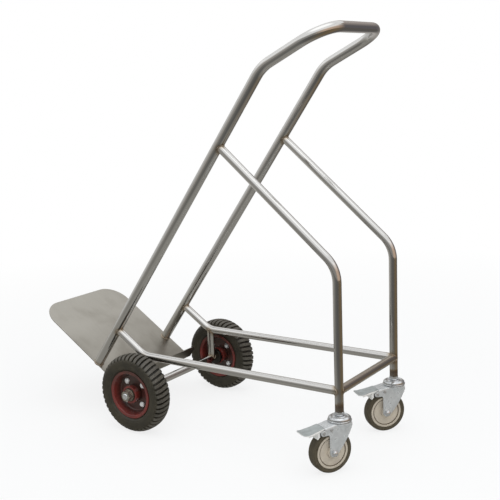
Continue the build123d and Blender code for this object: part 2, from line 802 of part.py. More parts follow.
def make_caster_bush():
    return ring(BUSH_DIAMETER, CASTER_BOLT_DIAMETER + 2 * CLEAR_GAP, -cheek_inside, cheek_inside)


def make_caster_axle_bolt():
    head = hexagon(CASTER_BOLT_HEX, -cheek_outside - CASTER_BOLT_HEAD, -cheek_outside)
    return head + rod(CASTER_BOLT_DIAMETER, -cheek_outside, cheek_outside + CASTER_NUT)


def make_caster_axle_nut():
    end = cheek_outside + CASTER_NUT
    bore = rod(CASTER_BOLT_DIAMETER + 2 * CLEAR_GAP, cheek_outside, end)
    nut = hexagon(CASTER_BOLT_HEX, cheek_outside, end) - bore
    flat = CASTER_BOLT_HEX / 2
    top = (0, end + CASTER_NUT_DOME)
    dome = spun(TangentArc(top, (flat, end), tangent=(1, 0)), Polyline((flat, end), (0, end), top))
    return nut + dome


def riveted_pin(diameter):
    """A pin across both cheeks with a flat head outside each."""
    length = cheek_outside + CLEAR_GAP
    head = rod(RIVET_HEAD_DIAMETER, length, length + RIVET_HEAD)
    return rod(diameter, -length, length) + both_sides(head)


def make_pedal_pin():
    return Pos(pivot.X, 0, pivot.Y) * riveted_pin(PIN_DIAMETER)


def make_leaf_rivet():
    return Pos(leaf_rivet.X, 0, leaf_rivet.Y) * riveted_pin(LEAF_RIVET_DIAMETER)


def make_brake_leaf():
    knee_top = (LEAF_KNEE, leaf_top)
    tail_top = (LEAF_TAIL, leaf_top - LEAF_TAIL_DROP)
    strip = make_face(
        Polyline(
            (LEAF_FRONT, leaf_top),
            knee_top,
            tail_top,
            (LEAF_TAIL, leaf_top - LEAF_TAIL_DROP - LEAF_SHEET),
            (LEAF_KNEE, leaf_top - LEAF_SHEET),
            (LEAF_FRONT, leaf_top - LEAF_SHEET),
            close=True,
        )
    )
    return side_slab(strip, LEAF_WIDTH / 2)


def pedal_plan(inset):
    """The pedal seen from above, drawn in from its edge by an inset."""
    start = CROWN_AHEAD + PEDAL_GAP
    waist = PEDAL_WAIST / 2 - inset
    tip = PEDAL_TIP_WIDTH / 2 - inset
    end = PEDAL_END - inset
    edge = Spline(
        (PEDAL_WAIST_END, waist),
        (PEDAL_FLARE_END, tip),
        tangents=[(1, 0), (1, 0)],
    )
    right_edge = mirror(edge, about=Plane.XZ)
    front = Polyline((PEDAL_FLARE_END, tip), (end, tip), (end, -tip), (PEDAL_FLARE_END, -tip))
    back = Polyline((PEDAL_WAIST_END, -waist), (start, -waist), (start, waist), (PEDAL_WAIST_END, waist))
    plan = make_face(Curve() + [edge, front, right_edge, back])
    return fillet(plan.vertices().group_by(Axis.X)[-1], PEDAL_TIP_CORNER - inset)


def pedal_side(depth):
    """The pedal seen from the side, with a depth below its top face."""
    start = CROWN_AHEAD + PEDAL_GAP
    lip = PEDAL_END - PEDAL_LIP
    tip = slope_height(lip) + PEDAL_LIP_RISE
    top = [(start, slope_height(start)), (lip, slope_height(lip)), (PEDAL_END, tip)]
    bottom = [(x, z - depth) for x, z in reversed(top)]
    return make_face(Polyline(*top, *bottom, close=True))


def make_brake_pedal():
    half_tip = PEDAL_TIP_WIDTH / 2
    height = 2 * crown_top
    sheet = side_slab(pedal_side(PEDAL_SHEET), half_tip) & extrude(pedal_plan(0), height)

    hem_depth = PEDAL_SHEET + PEDAL_HEM
    hem_start = pivot.X + PIVOT_EYE_RADIUS + PEDAL_GAP
    hem_length = PEDAL_END - PEDAL_LIP - hem_start
    hem_zone = Pos(hem_start + hem_length / 2, 0, crown_top) * Box(hem_length, 2 * half_tip, height)
    hem_plan = pedal_plan(0) - pedal_plan(PEDAL_HEM_SHEET)
    hem = side_slab(pedal_side(hem_depth), half_tip) & extrude(hem_plan, height) & hem_zone

    ear = make_face(
        Polyline(
            (pivot.X - EAR_RADIUS, pivot.Y),
            (pivot.X + EAR_RADIUS, pivot.Y),
            (SHOE_START, slope_height(SHOE_START) - PEDAL_SHEET / 2),
            (pivot.X - EAR_RADIUS / 2, slope_height(pivot.X) - PEDAL_SHEET / 2),
            close=True,
        )
    )
    ear = ear + Pos(pivot.X, pivot.Y) * Circle(EAR_RADIUS)
    ears = side_slab(ear, ear_outside) - side_slab(ear, ear_inside)

    shoe = make_face(
        Polyline(
            (SHOE_START, slope_height(SHOE_START) - PEDAL_SHEET / 2),
            (SHOE_END, slope_height(SHOE_END) - PEDAL_SHEET / 2),
            (SHOE_END, caster_radius),
            (SHOE_START, caster_radius),
            close=True,
        )
    )
    shoe = shoe - Pos(wheel_centre.X, wheel_centre.Y) * Circle(caster_radius + SHOE_GAP)
    pedal = sheet + hem + ears + side_slab(shoe, ear_outside)
    return pedal - across_cheeks(PIN_DIAMETER + 2 * RUNNING_GAP, pivot, cheek_inside)


def caster(name):
    """The pieces of one caster in their places under its leg."""
    on_wheel_axle = Pos(wheel_centre.X, 0, wheel_centre.Y)
    pieces = {
        "caster_fork": make_fork(),
        "caster_tread": on_wheel_axle * make_caster_tread(),
        "caster_core": on_wheel_axle * make_caster_core(),
        "caster_bush": on_wheel_axle * make_caster_bush(),
        "caster_axle_bolt": on_wheel_axle * make_caster_axle_bolt(),
        "caster_axle_nut": on_wheel_axle * make_caster_axle_nut(),
        "brake_pedal": make_brake_pedal(),
        "pedal_pin": make_pedal_pin(),
        "brake_leaf": make_brake_leaf(),
        "leaf_rivet": make_leaf_rivet(),
    }
    place = Pos(leg_x, SIDES[name] * side_y, 0) * Rot(0, 0, SWIVEL_TURN[name])
    return {f"{piece}_{name}": place * solid for piece, solid in pieces.items()}


def trolley():
    """Every piece of the trolley under its name."""
    pieces = {
        "handle_frame": make_handle_frame(),
        "toe_plate": make_toe_plate(),
        "rear_crossbar": make_rear_crossbar(),
        "axle_tube": make_axle_tube(),
        "axle_shaft": make_axle_shaft(),
        "hub_spacers": make_hub_spacers(),
        "axle_washers": make_axle_washers(),
        "axle_nuts": make_axle_nuts(),
        "leg_plugs": make_leg_plugs(),
        "caster_stems": make_caster_stems(),
        "stem_nuts": make_stem_nuts(),
        "swivel_caps": make_swivel_caps(),
        "ball_rings": make_ball_rings(),
    }
    for name, side in SIDES.items():
        pieces[f"rear_leg_{name}"] = make_rear_leg(side)
        pieces[f"side_rail_{name}"] = make_side_rail(side)
        pieces[f"axle_post_{name}"] = make_axle_post(side)
        pieces.update(front_wheel(name))
        pieces.update(caster(name))
    return pieces


os.makedirs("parts", exist_ok=True)
for node, piece in trolley().items():
    export_step(piece, f"parts/{node}.step")
    print(node, "solids", len(piece.solids()), "volume", round(piece.volume))
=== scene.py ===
# %% [markdown]
# # Oxygen cylinder trolley
# This lesson dresses a finished engineering model. The real trolley is a welded frame of polished stainless
# tube with a sheet toe plate, two lug-tyred wheels on red pressed rims, and two zinc-plated braked casters.
# The engineering model is the frame of the lesson. It fixes every place and size, so nothing here moves it.
# Pieces that need finer surfaces than engineering needs are built again in mesh code, in the same places.

# %% Load the frame
import json
import math
import random

import bmesh
import bpy
from mathutils import Matrix, Vector
from mathutils.bvhtree import BVHTree
from mathutils.kdtree import KDTree


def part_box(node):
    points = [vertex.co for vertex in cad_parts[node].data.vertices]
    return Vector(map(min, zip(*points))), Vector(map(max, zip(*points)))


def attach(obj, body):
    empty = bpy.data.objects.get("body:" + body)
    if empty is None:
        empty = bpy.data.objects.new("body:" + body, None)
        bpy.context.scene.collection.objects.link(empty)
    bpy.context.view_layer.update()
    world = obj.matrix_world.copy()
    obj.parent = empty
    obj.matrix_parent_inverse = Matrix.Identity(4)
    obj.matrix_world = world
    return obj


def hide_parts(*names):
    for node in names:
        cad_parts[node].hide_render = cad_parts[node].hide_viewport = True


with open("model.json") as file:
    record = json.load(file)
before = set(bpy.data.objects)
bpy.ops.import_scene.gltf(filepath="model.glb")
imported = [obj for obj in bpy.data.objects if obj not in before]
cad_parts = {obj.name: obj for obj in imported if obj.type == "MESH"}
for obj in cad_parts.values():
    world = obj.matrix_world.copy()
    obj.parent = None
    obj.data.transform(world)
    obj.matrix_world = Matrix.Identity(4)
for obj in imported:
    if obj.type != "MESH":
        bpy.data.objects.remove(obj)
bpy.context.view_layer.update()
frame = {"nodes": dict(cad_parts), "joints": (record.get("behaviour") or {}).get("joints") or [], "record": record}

nodes = frame["nodes"]
joints = {joint["name"]: joint for joint in frame["joints"]}

# %% [markdown]
# ## Camera
# A picture of tubes shows where its camera stood: parallel tubes run to vanishing points, and equal wheels
# shrink with distance. Solving for both gives a place, a direction, a small roll and a focal length. The roll
# and the place are written down here as numbers, because a tracking constraint could not hold the roll.

# %% Place the camera
SENSOR_MM = 36.0
FRAME_PIXELS = 500.0
FOCAL_PIXELS = 917.9
CAMERA_PLACE = Vector((-1.3989, 1.8423, 0.8765))
CAMERA_AZIMUTH = math.radians(214.60)
CAMERA_ELEVATION = math.radians(10.73)
CAMERA_ROLL = math.radians(-2.10)

camera_data = bpy.data.cameras.new("camera")
camera_data.sensor_width = SENSOR_MM
camera_data.lens = SENSOR_MM * FOCAL_PIXELS / FRAME_PIXELS
camera = bpy.data.objects.new("camera", camera_data)
bpy.context.scene.collection.objects.link(camera)
turn = Matrix.Rotation(CAMERA_AZIMUTH, 4, "Z") @ Matrix.Rotation(math.pi / 2 - CAMERA_ELEVATION, 4, "X")
camera.matrix_world = Matrix.Translation(CAMERA_PLACE) @ turn @ Matrix.Rotation(CAMERA_ROLL, 4, "Z")
bpy.context.scene.camera = camera
bpy.context.scene.view_settings.view_transform = "Standard"
print("lens", round(camera_data.lens, 2), "mm")

# %% [markdown]
# ## Sky and lamps
# Polished tube has almost no colour of its own. It shows its surroundings, so the studio matters as much as
# the steel. A picture of a real room could surround it, but then that room would show in every tube. Here a
# plain sky and two broad lamps light the surfaces, and white stands behind the object. Reflections leave the
# lamps out, because a lamp's mirror image adds to what lies behind it and burns out the polish.


# %% Helpers for shader nodes
def as_seen(red, green, blue):
    """A colour written as a screen shows it, turned into the light that it stands for."""
    return [c / 12.92 if c <= 0.04045 else ((c + 0.055) / 1.055) ** 2.4 for c in (red, green, blue)] + [1.0]


def add_node(tree, kind, **values):
    """A new shader node with some of its properties and inputs set."""
    node = tree.nodes.new(kind)
    for key, value in values.items():
        socket = key.replace("_", " ").title()
        if socket in node.inputs:
            node.inputs[socket].default_value = value
        else:
            setattr(node, key, value)
    return node


def feed(tree, socket, value):
    """A socket takes a plain value, or follows another node's output."""
    if isinstance(value, bpy.types.NodeSocket):
        tree.links.new(value, socket)
    else:
        socket.default_value = value


def maths(tree, operation, first, second=0.0):
    """One sum of two values, each a number or another node's output."""
    node = add_node(tree, "ShaderNodeMath", operation=operation)
    feed(tree, node.inputs[0], first)
    feed(tree, node.inputs[1], second)
    return node.outputs[0]


def brought(tree, value, from_low, from_high, low=0.0, high=1.0):
    """A value brought from one range to another and held there."""
    ends = {"from_min": from_low, "from_max": from_high, "to_min": low, "to_max": high}
    reach = add_node(tree, "ShaderNodeMapRange", **ends)
    tree.links.new(value, reach.inputs["Value"])
    return reach.outputs[0]


print("mid grey as light", round(as_seen(0.5, 0.5, 0.5)[0], 3))


# %% World: white behind the object, soft sky for the light
def colour_steps(tree, value, rows):
    """A colour that a value picks from rows of place, red, green and blue."""
    ramp = tree.nodes.new("ShaderNodeValToRGB")
    elements = ramp.color_ramp.elements
    while len(elements) < len(rows):
        elements.new(1.0)
    for element, (place, *colour) in zip(elements, rows):
        element.position = place
        element.color = as_seen(*colour)
    tree.links.new(value, ramp.inputs[0])
    return ramp.outputs[0]


def mixed_shaders(tree, share, first, second):
    """Two shaders mixed by a share."""
    mix = tree.nodes.new("ShaderNodeMixShader")
    for socket, source in zip(mix.inputs, (share, first, second)):
        tree.links.new(source, socket)
    return mix.outputs[0]


def seen_directly(tree):
    """One for camera, glossy and transmission rays, which all show the background as it is."""
    rays = tree.nodes.new("ShaderNodeLightPath").outputs
    total = rays["Is Camera Ray"]
    for name in ("Is Glossy Ray", "Is Transmission Ray"):
        total = maths(tree, "MAXIMUM", total, rays[name])
    return total


GROUND_TO_SKY = [(0.0, 0.70, 0.67, 0.62), (1.0, 0.93, 0.95, 0.98)]
GROUND_ENDS, SKY_STARTS = -0.3, 0.6
WORLD_LIGHT = 0.85
WHITE = as_seen(1, 1, 1)

world = bpy.data.worlds.new("studio")
bpy.context.scene.world = world
world.use_nodes = True
tree = world.node_tree
background = tree.nodes["Background"]
split = tree.nodes.new("ShaderNodeSeparateXYZ")
tree.links.new(tree.nodes.new("ShaderNodeTexCoord").outputs["Generated"], split.inputs[0])
height = brought(tree, split.outputs["Z"], GROUND_ENDS, SKY_STARTS)
tree.links.new(colour_steps(tree, height, GROUND_TO_SKY), background.inputs["Color"])
background.inputs["Strength"].default_value = WORLD_LIGHT
white = add_node(tree, "ShaderNodeBackground", color=WHITE, strength=1.0)
backdrop = mixed_shaders(tree, seen_directly(tree), background.outputs[0], white.outputs[0])
tree.links.new(backdrop, tree.nodes["World Output"].inputs["Surface"])
print("world light", WORLD_LIGHT)

# %% Lamps
LAMPS_AIM = (0, 0, 0.3)
OVERHEAD_PLACE, OVERHEAD_SIZE, OVERHEAD_WATTS = (-0.5, 0.4, 3.4), 3.4, 48
OVERHEAD_TINT = (0.97, 0.985, 1.0)
FILL_PLACE, FILL_SIZE, FILL_WATTS = (-2.6, 2.2, 1.9), 3.2, 36


def soft_lamp(name, place, size, watts, tint=(1, 1, 1)):
    """A square soft light that shines on the trolley from a place, and that reflections leave out."""
    data = bpy.data.lights.new(name, "AREA")
    data.shape = "SQUARE"
    data.size = size
    data.energy = watts
    data.color = tint
    lamp = bpy.data.objects.new(name, data)
    bpy.context.scene.collection.objects.link(lamp)
    lamp.location = place
    lamp.rotation_euler = (Vector(LAMPS_AIM) - Vector(place)).to_track_quat("-Z", "Y").to_euler()
    lamp.visible_glossy = False
    return lamp


overhead = soft_lamp("overhead", OVERHEAD_PLACE, OVERHEAD_SIZE, OVERHEAD_WATTS, OVERHEAD_TINT)
soft_lamp("side_fill", FILL_PLACE, FILL_SIZE, FILL_WATTS)

# %% [markdown]
# ## Floor
# The trolley stands on a pale floor that runs out into white. A photographer hangs a curved sheet of paper
# for that. A flat floor is enough here: near the trolley a share of it is matt and takes the shadow, and
# farther away its own glow takes over for direct views, so that no horizon shows.

# %% Floor
FLOOR_HALF = 30.0
FLOOR_COLOUR = as_seen(0.90, 0.90, 0.89)
GLOW_NEAR = 0.8
GLOW_NEAR_REACH, GLOW_FAR_REACH = 0.8, 2.4


def flat_piece(name, corners, faces):
    """A flat piece of the studio, and the node tree of its paint."""
    mesh = bpy.data.meshes.new(name)
    mesh.from_pydata(corners, [], faces)
    paint = bpy.data.materials.new(name + "_paint")
    paint.use_nodes = True
    mesh.materials.append(paint)
    piece = bpy.data.objects.new(name, mesh)
    bpy.context.scene.collection.objects.link(piece)
    return piece, paint.node_tree


def square(half):
    """The corners of a flat square about the origin, and its one face."""
    return [(x * half, y * half, 0) for x, y in ((-1, -1), (1, -1), (1, 1), (-1, 1))], [range(4)]


def object_place(tree):
    """The place on the piece, whole and split into x, y and z."""
    whole = tree.nodes.new("ShaderNodeTexCoord").outputs["Object"]
    split = tree.nodes.new("ShaderNodeSeparateXYZ")
    tree.links.new(whole, split.inputs[0])
    return whole, split.outputs


def length_of(tree, vector):
    """How long a vector is."""
    node = add_node(tree, "ShaderNodeVectorMath", operation="LENGTH")
    tree.links.new(vector, node.inputs[0])
    return node.outputs["Value"]


floor, tree = flat_piece("floor", *square(FLOOR_HALF))
matt = add_node(tree, "ShaderNodeBsdfDiffuse", color=FLOOR_COLOUR)
glow = add_node(tree, "ShaderNodeEmission", color=WHITE, strength=1.0)
distance = length_of(tree, object_place(tree)[0])
share = brought(tree, distance, GLOW_NEAR_REACH, GLOW_FAR_REACH, GLOW_NEAR, 1.0)
direct = maths(tree, "MULTIPLY", seen_directly(tree), share)
surface = mixed_shaders(tree, direct, matt.outputs[0], glow.outputs[0])
tree.links.new(surface, tree.nodes["Material Output"].inputs["Surface"])
print("floor", 2 * FLOOR_HALF, "m wide")

# %% [markdown]
# ## Cards that only the polish sees
# In a real studio polished tube gets its crisp bands from cards that stand round the object, out of the
# picture. A round tube mirrors all directions at once, and each direction makes one line along it. A picture
# of a room could fill those lines. Here a wall, a mat on the floor and a soft box at the overhead lamp glow
# in colours that the direction picks, so each band on a tube can be found again in a row of numbers.

# %% Colours round the trolley
# Each row is a part of a turn, red, green and blue.
WALL_ROUND = [
    (0.000, 0.84, 0.84, 0.83), (0.075, 0.75, 0.74, 0.73), (0.145, 0.68, 0.66, 0.63),
    (0.190, 0.62, 0.61, 0.60), (0.350, 0.58, 0.57, 0.55), (0.450, 0.86, 0.75, 0.66),
    (0.570, 0.76, 0.66, 0.58), (0.650, 0.40, 0.39, 0.40), (0.720, 0.46, 0.44, 0.44),
    (0.800, 0.60, 0.57, 0.54), (0.900, 0.80, 0.79, 0.78),
]
WALL_TOP = [
    (0.00, 1.00, 1.00, 1.00), (0.55, 1.00, 1.00, 1.00), (0.65, 0.62, 0.57, 0.53),
    (0.78, 0.70, 0.67, 0.66), (0.90, 0.92, 0.92, 0.91),
]
FLOOR_ROUND = [
    (0.000, 0.80, 0.79, 0.78), (0.083, 0.66, 0.65, 0.62), (0.153, 0.58, 0.57, 0.55),
    (0.222, 0.49, 0.48, 0.46), (0.290, 0.41, 0.41, 0.40), (0.360, 0.38, 0.37, 0.36),
    (0.430, 0.41, 0.39, 0.35), (0.500, 0.46, 0.40, 0.31), (0.570, 0.50, 0.43, 0.33),
    (0.650, 0.40, 0.38, 0.36), (0.710, 0.39, 0.38, 0.37), (0.770, 0.68, 0.66, 0.64),
    (0.900, 0.82, 0.81, 0.80),
]
FLOOR_NEAR = [(0.0, 0.61, 0.60, 0.575)]
BOX_ROUND = [(0.0, 1.0, 1.0, 1.0)]
print("directions", len(WALL_ROUND), "on the wall,", len(FLOOR_ROUND), "on the floor")

# %% A card that glows by direction
# A Mix node has sockets for numbers, vectors and colours. Those for colours are at these places.
MIX_FIRST, MIX_SECOND, MIX_RESULT = 6, 7, 2


def mixed_colours(tree, share, first, second):
    """Two colours mixed by a share. Each is written as seen, or is another node's output."""
    mix = add_node(tree, "ShaderNodeMix", data_type="RGBA")
    tree.links.new(share, mix.inputs["Factor"])
    for k, colour in ((MIX_FIRST, first), (MIX_SECOND, second)):
        feed(tree, mix.inputs[k], as_seen(*colour) if isinstance(colour, tuple) else colour)
    return mix.outputs[MIX_RESULT]


def reflection_card(card, tree, low, high, value_ends, high_glow=1.0):
    """A glowing card in colours by direction, over to other colours with height or nearness."""
    whole, (x, y, z) = object_place(tree)
    turn = maths(tree, "FRACT", maths(tree, "DIVIDE", maths(tree, "ARCTAN2", y, x), 2 * math.pi))
    value = z if card.name == "wall_card" else length_of(tree, whole)
    colours = [colour_steps(tree, turn, rows + [(1.0, *rows[0][1:])]) for rows in (low, high)]
    glow = tree.nodes.new("ShaderNodeEmission")
    tree.links.new(mixed_colours(tree, brought(tree, value, *value_ends), *colours), glow.inputs["Color"])
    tree.links.new(brought(tree, value, *value_ends, 1.0, high_glow), glow.inputs["Strength"])
    tree.links.new(glow.outputs[0], tree.nodes["Material Output"].inputs["Surface"])
    for kind in ("camera", "diffuse", "shadow", "transmission"):
        setattr(card, "visible_" + kind, False)
    print("card", card.name, "with", len(low), "and", len(high), "colours")


# %% Wall, mat and soft box
CARD_DISTANCE, CARD_HEIGHT, CARD_STEPS = 5.0, 4.2, 72
TOP_STARTS, TOP_GLOW = 1.7, 1.3
MAT_LIFT = 0.0004
ROUND_STARTS, NEAR_ENDS = 1.0, 0.5
BOX_GLOW, BOX_CORE = 1.55, 0.6


def round_the_floor(height):
    """Points of a circle round the trolley at a height."""
    angles = [2 * math.pi * k / CARD_STEPS for k in range(CARD_STEPS)]
    return [(CARD_DISTANCE * math.cos(a), CARD_DISTANCE * math.sin(a), height) for a in angles]


wall_faces = []
for k in range(CARD_STEPS):
    n = (k + 1) % CARD_STEPS
    wall_faces.append((k, n, n + CARD_STEPS, k + CARD_STEPS))
wall = flat_piece("wall_card", round_the_floor(0.0) + round_the_floor(CARD_HEIGHT), wall_faces)
reflection_card(*wall, WALL_ROUND, WALL_TOP, (TOP_STARTS, CARD_HEIGHT), TOP_GLOW)
mat = flat_piece("floor_card", round_the_floor(MAT_LIFT), [range(CARD_STEPS)])
reflection_card(*mat, FLOOR_ROUND, FLOOR_NEAR, (ROUND_STARTS, NEAR_ENDS))
box_half = OVERHEAD_SIZE / 2
soft_box, tree = flat_piece("soft_box", *square(box_half))
soft_box.location = overhead.location
soft_box.rotation_euler = overhead.rotation_euler
reflection_card(soft_box, tree, BOX_ROUND, BOX_ROUND, (box_half, BOX_CORE * box_half), BOX_GLOW)

# %% [markdown]
# ## Finishes
# Each finish is one short function with the values of that surface. Colours are written as seen. Plain values
# are set on the shader itself, and only what varies over the surface comes from nodes. Where a piece knows
# something about itself, such as how near a weld is, its mesh carries that value and the finish reads it.

# %% Start of every finish
NOISE_LOW, NOISE_HIGH = 0.3, 0.7
finishes = {}


def new_finish(name, plain):
    """A material whose shader has these plain values."""
    finish = bpy.data.materials.new(name)
    finish.use_nodes = True
    shader = finish.node_tree.nodes["Principled BSDF"]
    for socket, value in plain.items():
        shader.inputs[socket].default_value = value
    return finish, finish.node_tree, shader


def object_noise(tree, scale, detail=3.0, stretch=(1, 1, 1), carried_by=None):
    """Noise over the piece's own coordinates, or over a vector that its mesh carries."""
    if carried_by:
        source = add_node(tree, "ShaderNodeAttribute", attribute_name=carried_by).outputs["Vector"]
    else:
        source = tree.nodes.new("ShaderNodeTexCoord").outputs["Object"]
    mapping = add_node(tree, "ShaderNodeMapping", scale=stretch)
    tree.links.new(source, mapping.inputs["Vector"])
    noise = add_node(tree, "ShaderNodeTexNoise", scale=scale, detail=detail)
    tree.links.new(mapping.outputs[0], noise.inputs["Vector"])
    return noise.outputs["Fac"]


def spread(tree, noise, low=0.0, high=1.0):
    """A noise value brought to a range."""
    return brought(tree, noise, NOISE_LOW, NOISE_HIGH, low, high)


def carried(tree, name):
    """A value that the mesh carries."""
    return add_node(tree, "ShaderNodeAttribute", attribute_name=name).outputs["Fac"]


def cover(tree, shader, colour, roughness):
    """The shader follows a colour and a roughness."""
    tree.links.new(colour, shader.inputs["Base Color"])
    tree.links.new(roughness, shader.inputs["Roughness"])


def raise_surface(tree, shader, value, strength, distance):
    """Fine relief from a value."""
    bump = add_node(tree, "ShaderNodeBump", strength=strength, distance=distance)
    tree.links.new(value, bump.inputs["Height"])
    tree.links.new(bump.outputs[0], shader.inputs["Normal"])


def keep_finish(name, finish):
    """A finish is kept under the name of its slot, or under its own."""
    finishes[name] = finish
    print("finish", finish.name, "with", len(finish.node_tree.nodes), "nodes")


# %% [markdown]
# ### Polished tube
# Stainless tube is polished along its length, and welding browns it. A perfect mirror would look like chrome.
# So the tube is a metal with faint streaks along it and a little dullness in clouds, and its tint follows the
# heat that the mesh carries, from plain steel through straw and brown to a grey scale.

# %% Polished tube
HEAT_TINTS = [
    (0.0, 0.83, 0.83, 0.825), (0.25, 0.75, 0.72, 0.67), (0.50, 0.62, 0.56, 0.49),
    (0.75, 0.50, 0.445, 0.40), (1.0, 0.53, 0.49, 0.45),
]


def polished_tube():
    """Mirror-like tube, browned and dulled by heat."""
    finish, tree, shader = new_finish("polished_tube", {"Metallic": 1.0})
    heat = carried(tree, "weld_tint")
    cloud = spread(tree, object_noise(tree, scale=14.0), 0.0, 0.10)
    steel = mixed_colours(tree, cloud, colour_steps(tree, heat, HEAT_TINTS), (0.62, 0.60, 0.57))
    streaks = object_noise(tree, scale=60.0, detail=2.0, stretch=(0.1, 1, 1), carried_by="lay")
    heat_scale = brought(tree, heat, 0.0, 1.0, 0.0, 0.25)
    cover(tree, shader, steel, maths(tree, "ADD", spread(tree, streaks, 0.09, 0.15), heat_scale))
    return finish


keep_finish("stainless_tube", polished_tube())

# %% [markdown]
# ### Brushed sheet
# The toe plate is satin sheet with fine brushing and smudges. It is darker towards the feet of the uprights.
# A picture of scratches would stretch on the folded edges. Noise in the plate's own coordinates, drawn out
# along the brushing, stays even all over.

# %% Brushed sheet of the toe plate
FLANGE_REACH, DARKER_REACH = 0.03, 0.19
plate_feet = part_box("toe_plate")[0].x + FLANGE_REACH


def brushed_sheet():
    """Satin sheet with smudges, darker towards the feet of the uprights."""
    finish, tree, shader = new_finish("brushed_sheet", {"Metallic": 1.0})
    brush = object_noise(tree, scale=900.0, detail=2.0, stretch=(0.02, 1, 0.02))
    smudge = object_noise(tree, scale=16.0, detail=4.0)
    satin = mixed_colours(tree, brush, (0.66, 0.65, 0.62), (0.72, 0.71, 0.68))
    smudged = mixed_colours(tree, brought(tree, smudge, 0.50, 0.75, 0.0, 0.26), satin, (0.52, 0.50, 0.46))
    # Darker towards the feet of the uprights.
    along = brought(tree, object_place(tree)[1][0], plate_feet, plate_feet + DARKER_REACH, 0.58, 0.0)
    darkening = maths(tree, "MULTIPLY", along, spread(tree, smudge, 0.7, 1.2))
    darkened_sheet = mixed_colours(tree, darkening, smudged, (0.42, 0.40, 0.36))
    cover(tree, shader, darkened_sheet, spread(tree, smudge, 0.33, 0.45))
    raise_surface(tree, shader, brush, strength=0.05, distance=0.0002)
    return finish


keep_finish("stainless_plate", brushed_sheet())

# %% [markdown]
# ### Rubber
# The tyres are olive-black rubber, with painted shade deep in the grooves, and the lugs are painted paler as a
# highlight of the sky, with some wear. The caster treads are a plainer brown-grey rubber. Shade and highlight
# could be painted by hand. Here the tyre's mesh carries how high each point lies on the tread, so they are in
# the right place on every lug.


# %% Rubber of the tyres and of the caster treads
def tyre_rubber():
    """Olive-black rubber, with painted shade in grooves and a painted highlight on lug tops. The tread tone is 0
    deep in a groove, 0.5 on a sidewall and 1 on a lug top.
    """
    finish, tree, shader = new_finish("tyre_rubber", {"Specular IOR Level": 0.5})
    tone = carried(tree, "tread_tone")
    dust_and_top_shade = object_noise(tree, scale=35.0, detail=5.0)
    sidewall = mixed_colours(tree, spread(tree, dust_and_top_shade), (0.15, 0.138, 0.10), (0.22, 0.20, 0.14))
    # Lug tops are painted paler as a highlight of the sky, with some wear.
    lug_highlight_and_wear = maths(tree, "MULTIPLY", brought(tree, tone, 0.6, 1.0), spread(tree, dust_and_top_shade, 0.35, 0.75))
    lugs = mixed_colours(tree, lug_highlight_and_wear, sidewall, (0.36, 0.345, 0.315))
    # Grooves are painted dark as shade.
    groove_shaded = mixed_colours(tree, brought(tree, tone, 0.4, 0.0, 0.0, 0.8), lugs, (0.07, 0.07, 0.06))
    cover(tree, shader, groove_shaded, spread(tree, dust_and_top_shade, 0.42, 0.58))
    raise_surface(tree, shader, object_noise(tree, scale=700.0, detail=4.0), strength=0.25, distance=0.0004)
    return finish


def caster_rubber():
    """Brown-grey rubber with scuffs."""
    finish, tree, shader = new_finish("caster_rubber", {"Specular IOR Level": 0.35})
    scuff = object_noise(tree, scale=60.0, detail=4.0)
    scuffed = mixed_colours(tree, spread(tree, scuff), (0.265, 0.24, 0.185), (0.315, 0.285, 0.22))
    cover(tree, shader, scuffed, spread(tree, scuff, 0.5, 0.7))
    raise_surface(tree, shader, object_noise(tree, scale=900.0, detail=2.0), strength=0.12, distance=0.0003)
    return finish


keep_finish("black_rubber", tyre_rubber())
keep_finish("grey_rubber", caster_rubber())

# %% [markdown]
# ### Red paint
# Rims and hubs are painted dark red. Deep in the dish of the rim the paint is darker, as road grime and as
# painted shade of the hollow, and the half that stood uppermost is darker with painted shade. Both could be
# drawn on a picture of the rim. The place on the piece is enough: the dish shade follows the distance from the
# wheel's middle, the top shade follows the height, and noise breaks both up.

# %% Red paint of rims and hubs
WHEEL_MIDDLE, WHEEL_AXIS = (abs(v) for v in joints["front_wheel_left_spin"]["pos_m"][1:])
# The dish is painted darker as grime and as shade of its hollow, and the upper half is painted darker as shade.
SHADE_AND_GRIME_DEEP, SHADE_AND_GRIME_SHALLOW = 0.006, 0.021
UNSHADED_HEIGHT, TOP_SHADED_HEIGHT = WHEEL_AXIS + 0.01, WHEEL_AXIS + 0.055


def red_paint():
    """Dark red paint, darker in the dish as grime and painted shade, and darker on the upper half as painted
    shade.
    """
    finish, tree, shader = new_finish("red_paint", {"Coat Weight": 0.4, "Coat Roughness": 0.12})
    wear = object_noise(tree, scale=40.0, detail=4.0)
    paint = mixed_colours(tree, spread(tree, wear), (0.45, 0.155, 0.13), (0.38, 0.125, 0.105))
    place = object_place(tree)[1]
    # Painted shade and grime deep in the dish, by the distance from the wheel's middle.
    across = maths(tree, "ABSOLUTE", place[1])
    from_middle = maths(tree, "ABSOLUTE", maths(tree, "SUBTRACT", across, WHEEL_MIDDLE))
    depth = brought(tree, from_middle, SHADE_AND_GRIME_DEEP, SHADE_AND_GRIME_SHALLOW, 0.8, 0.0)
    shade_and_grime = maths(tree, "MULTIPLY", depth, spread(tree, wear, 1.25, 0.75))
    shaded_and_grimy = mixed_colours(tree, shade_and_grime, paint, (0.155, 0.11, 0.08))
    # Painted shade on the upper half of the wheel, by the height.
    height = brought(tree, place[2], UNSHADED_HEIGHT, TOP_SHADED_HEIGHT, 0.0, 0.75)
    dust_and_top_shade = maths(tree, "MULTIPLY", height, spread(tree, wear, 0.7, 1.2))
    top_shaded = mixed_colours(tree, dust_and_top_shade, shaded_and_grimy, (0.19, 0.145, 0.11))
    cover(tree, shader, top_shaded, spread(tree, wear, 0.3, 0.45))
    raise_surface(tree, shader, object_noise(tree, scale=260.0, detail=2.0), strength=0.05, distance=0.0004)
    return finish


keep_finish("red_paint", red_paint())
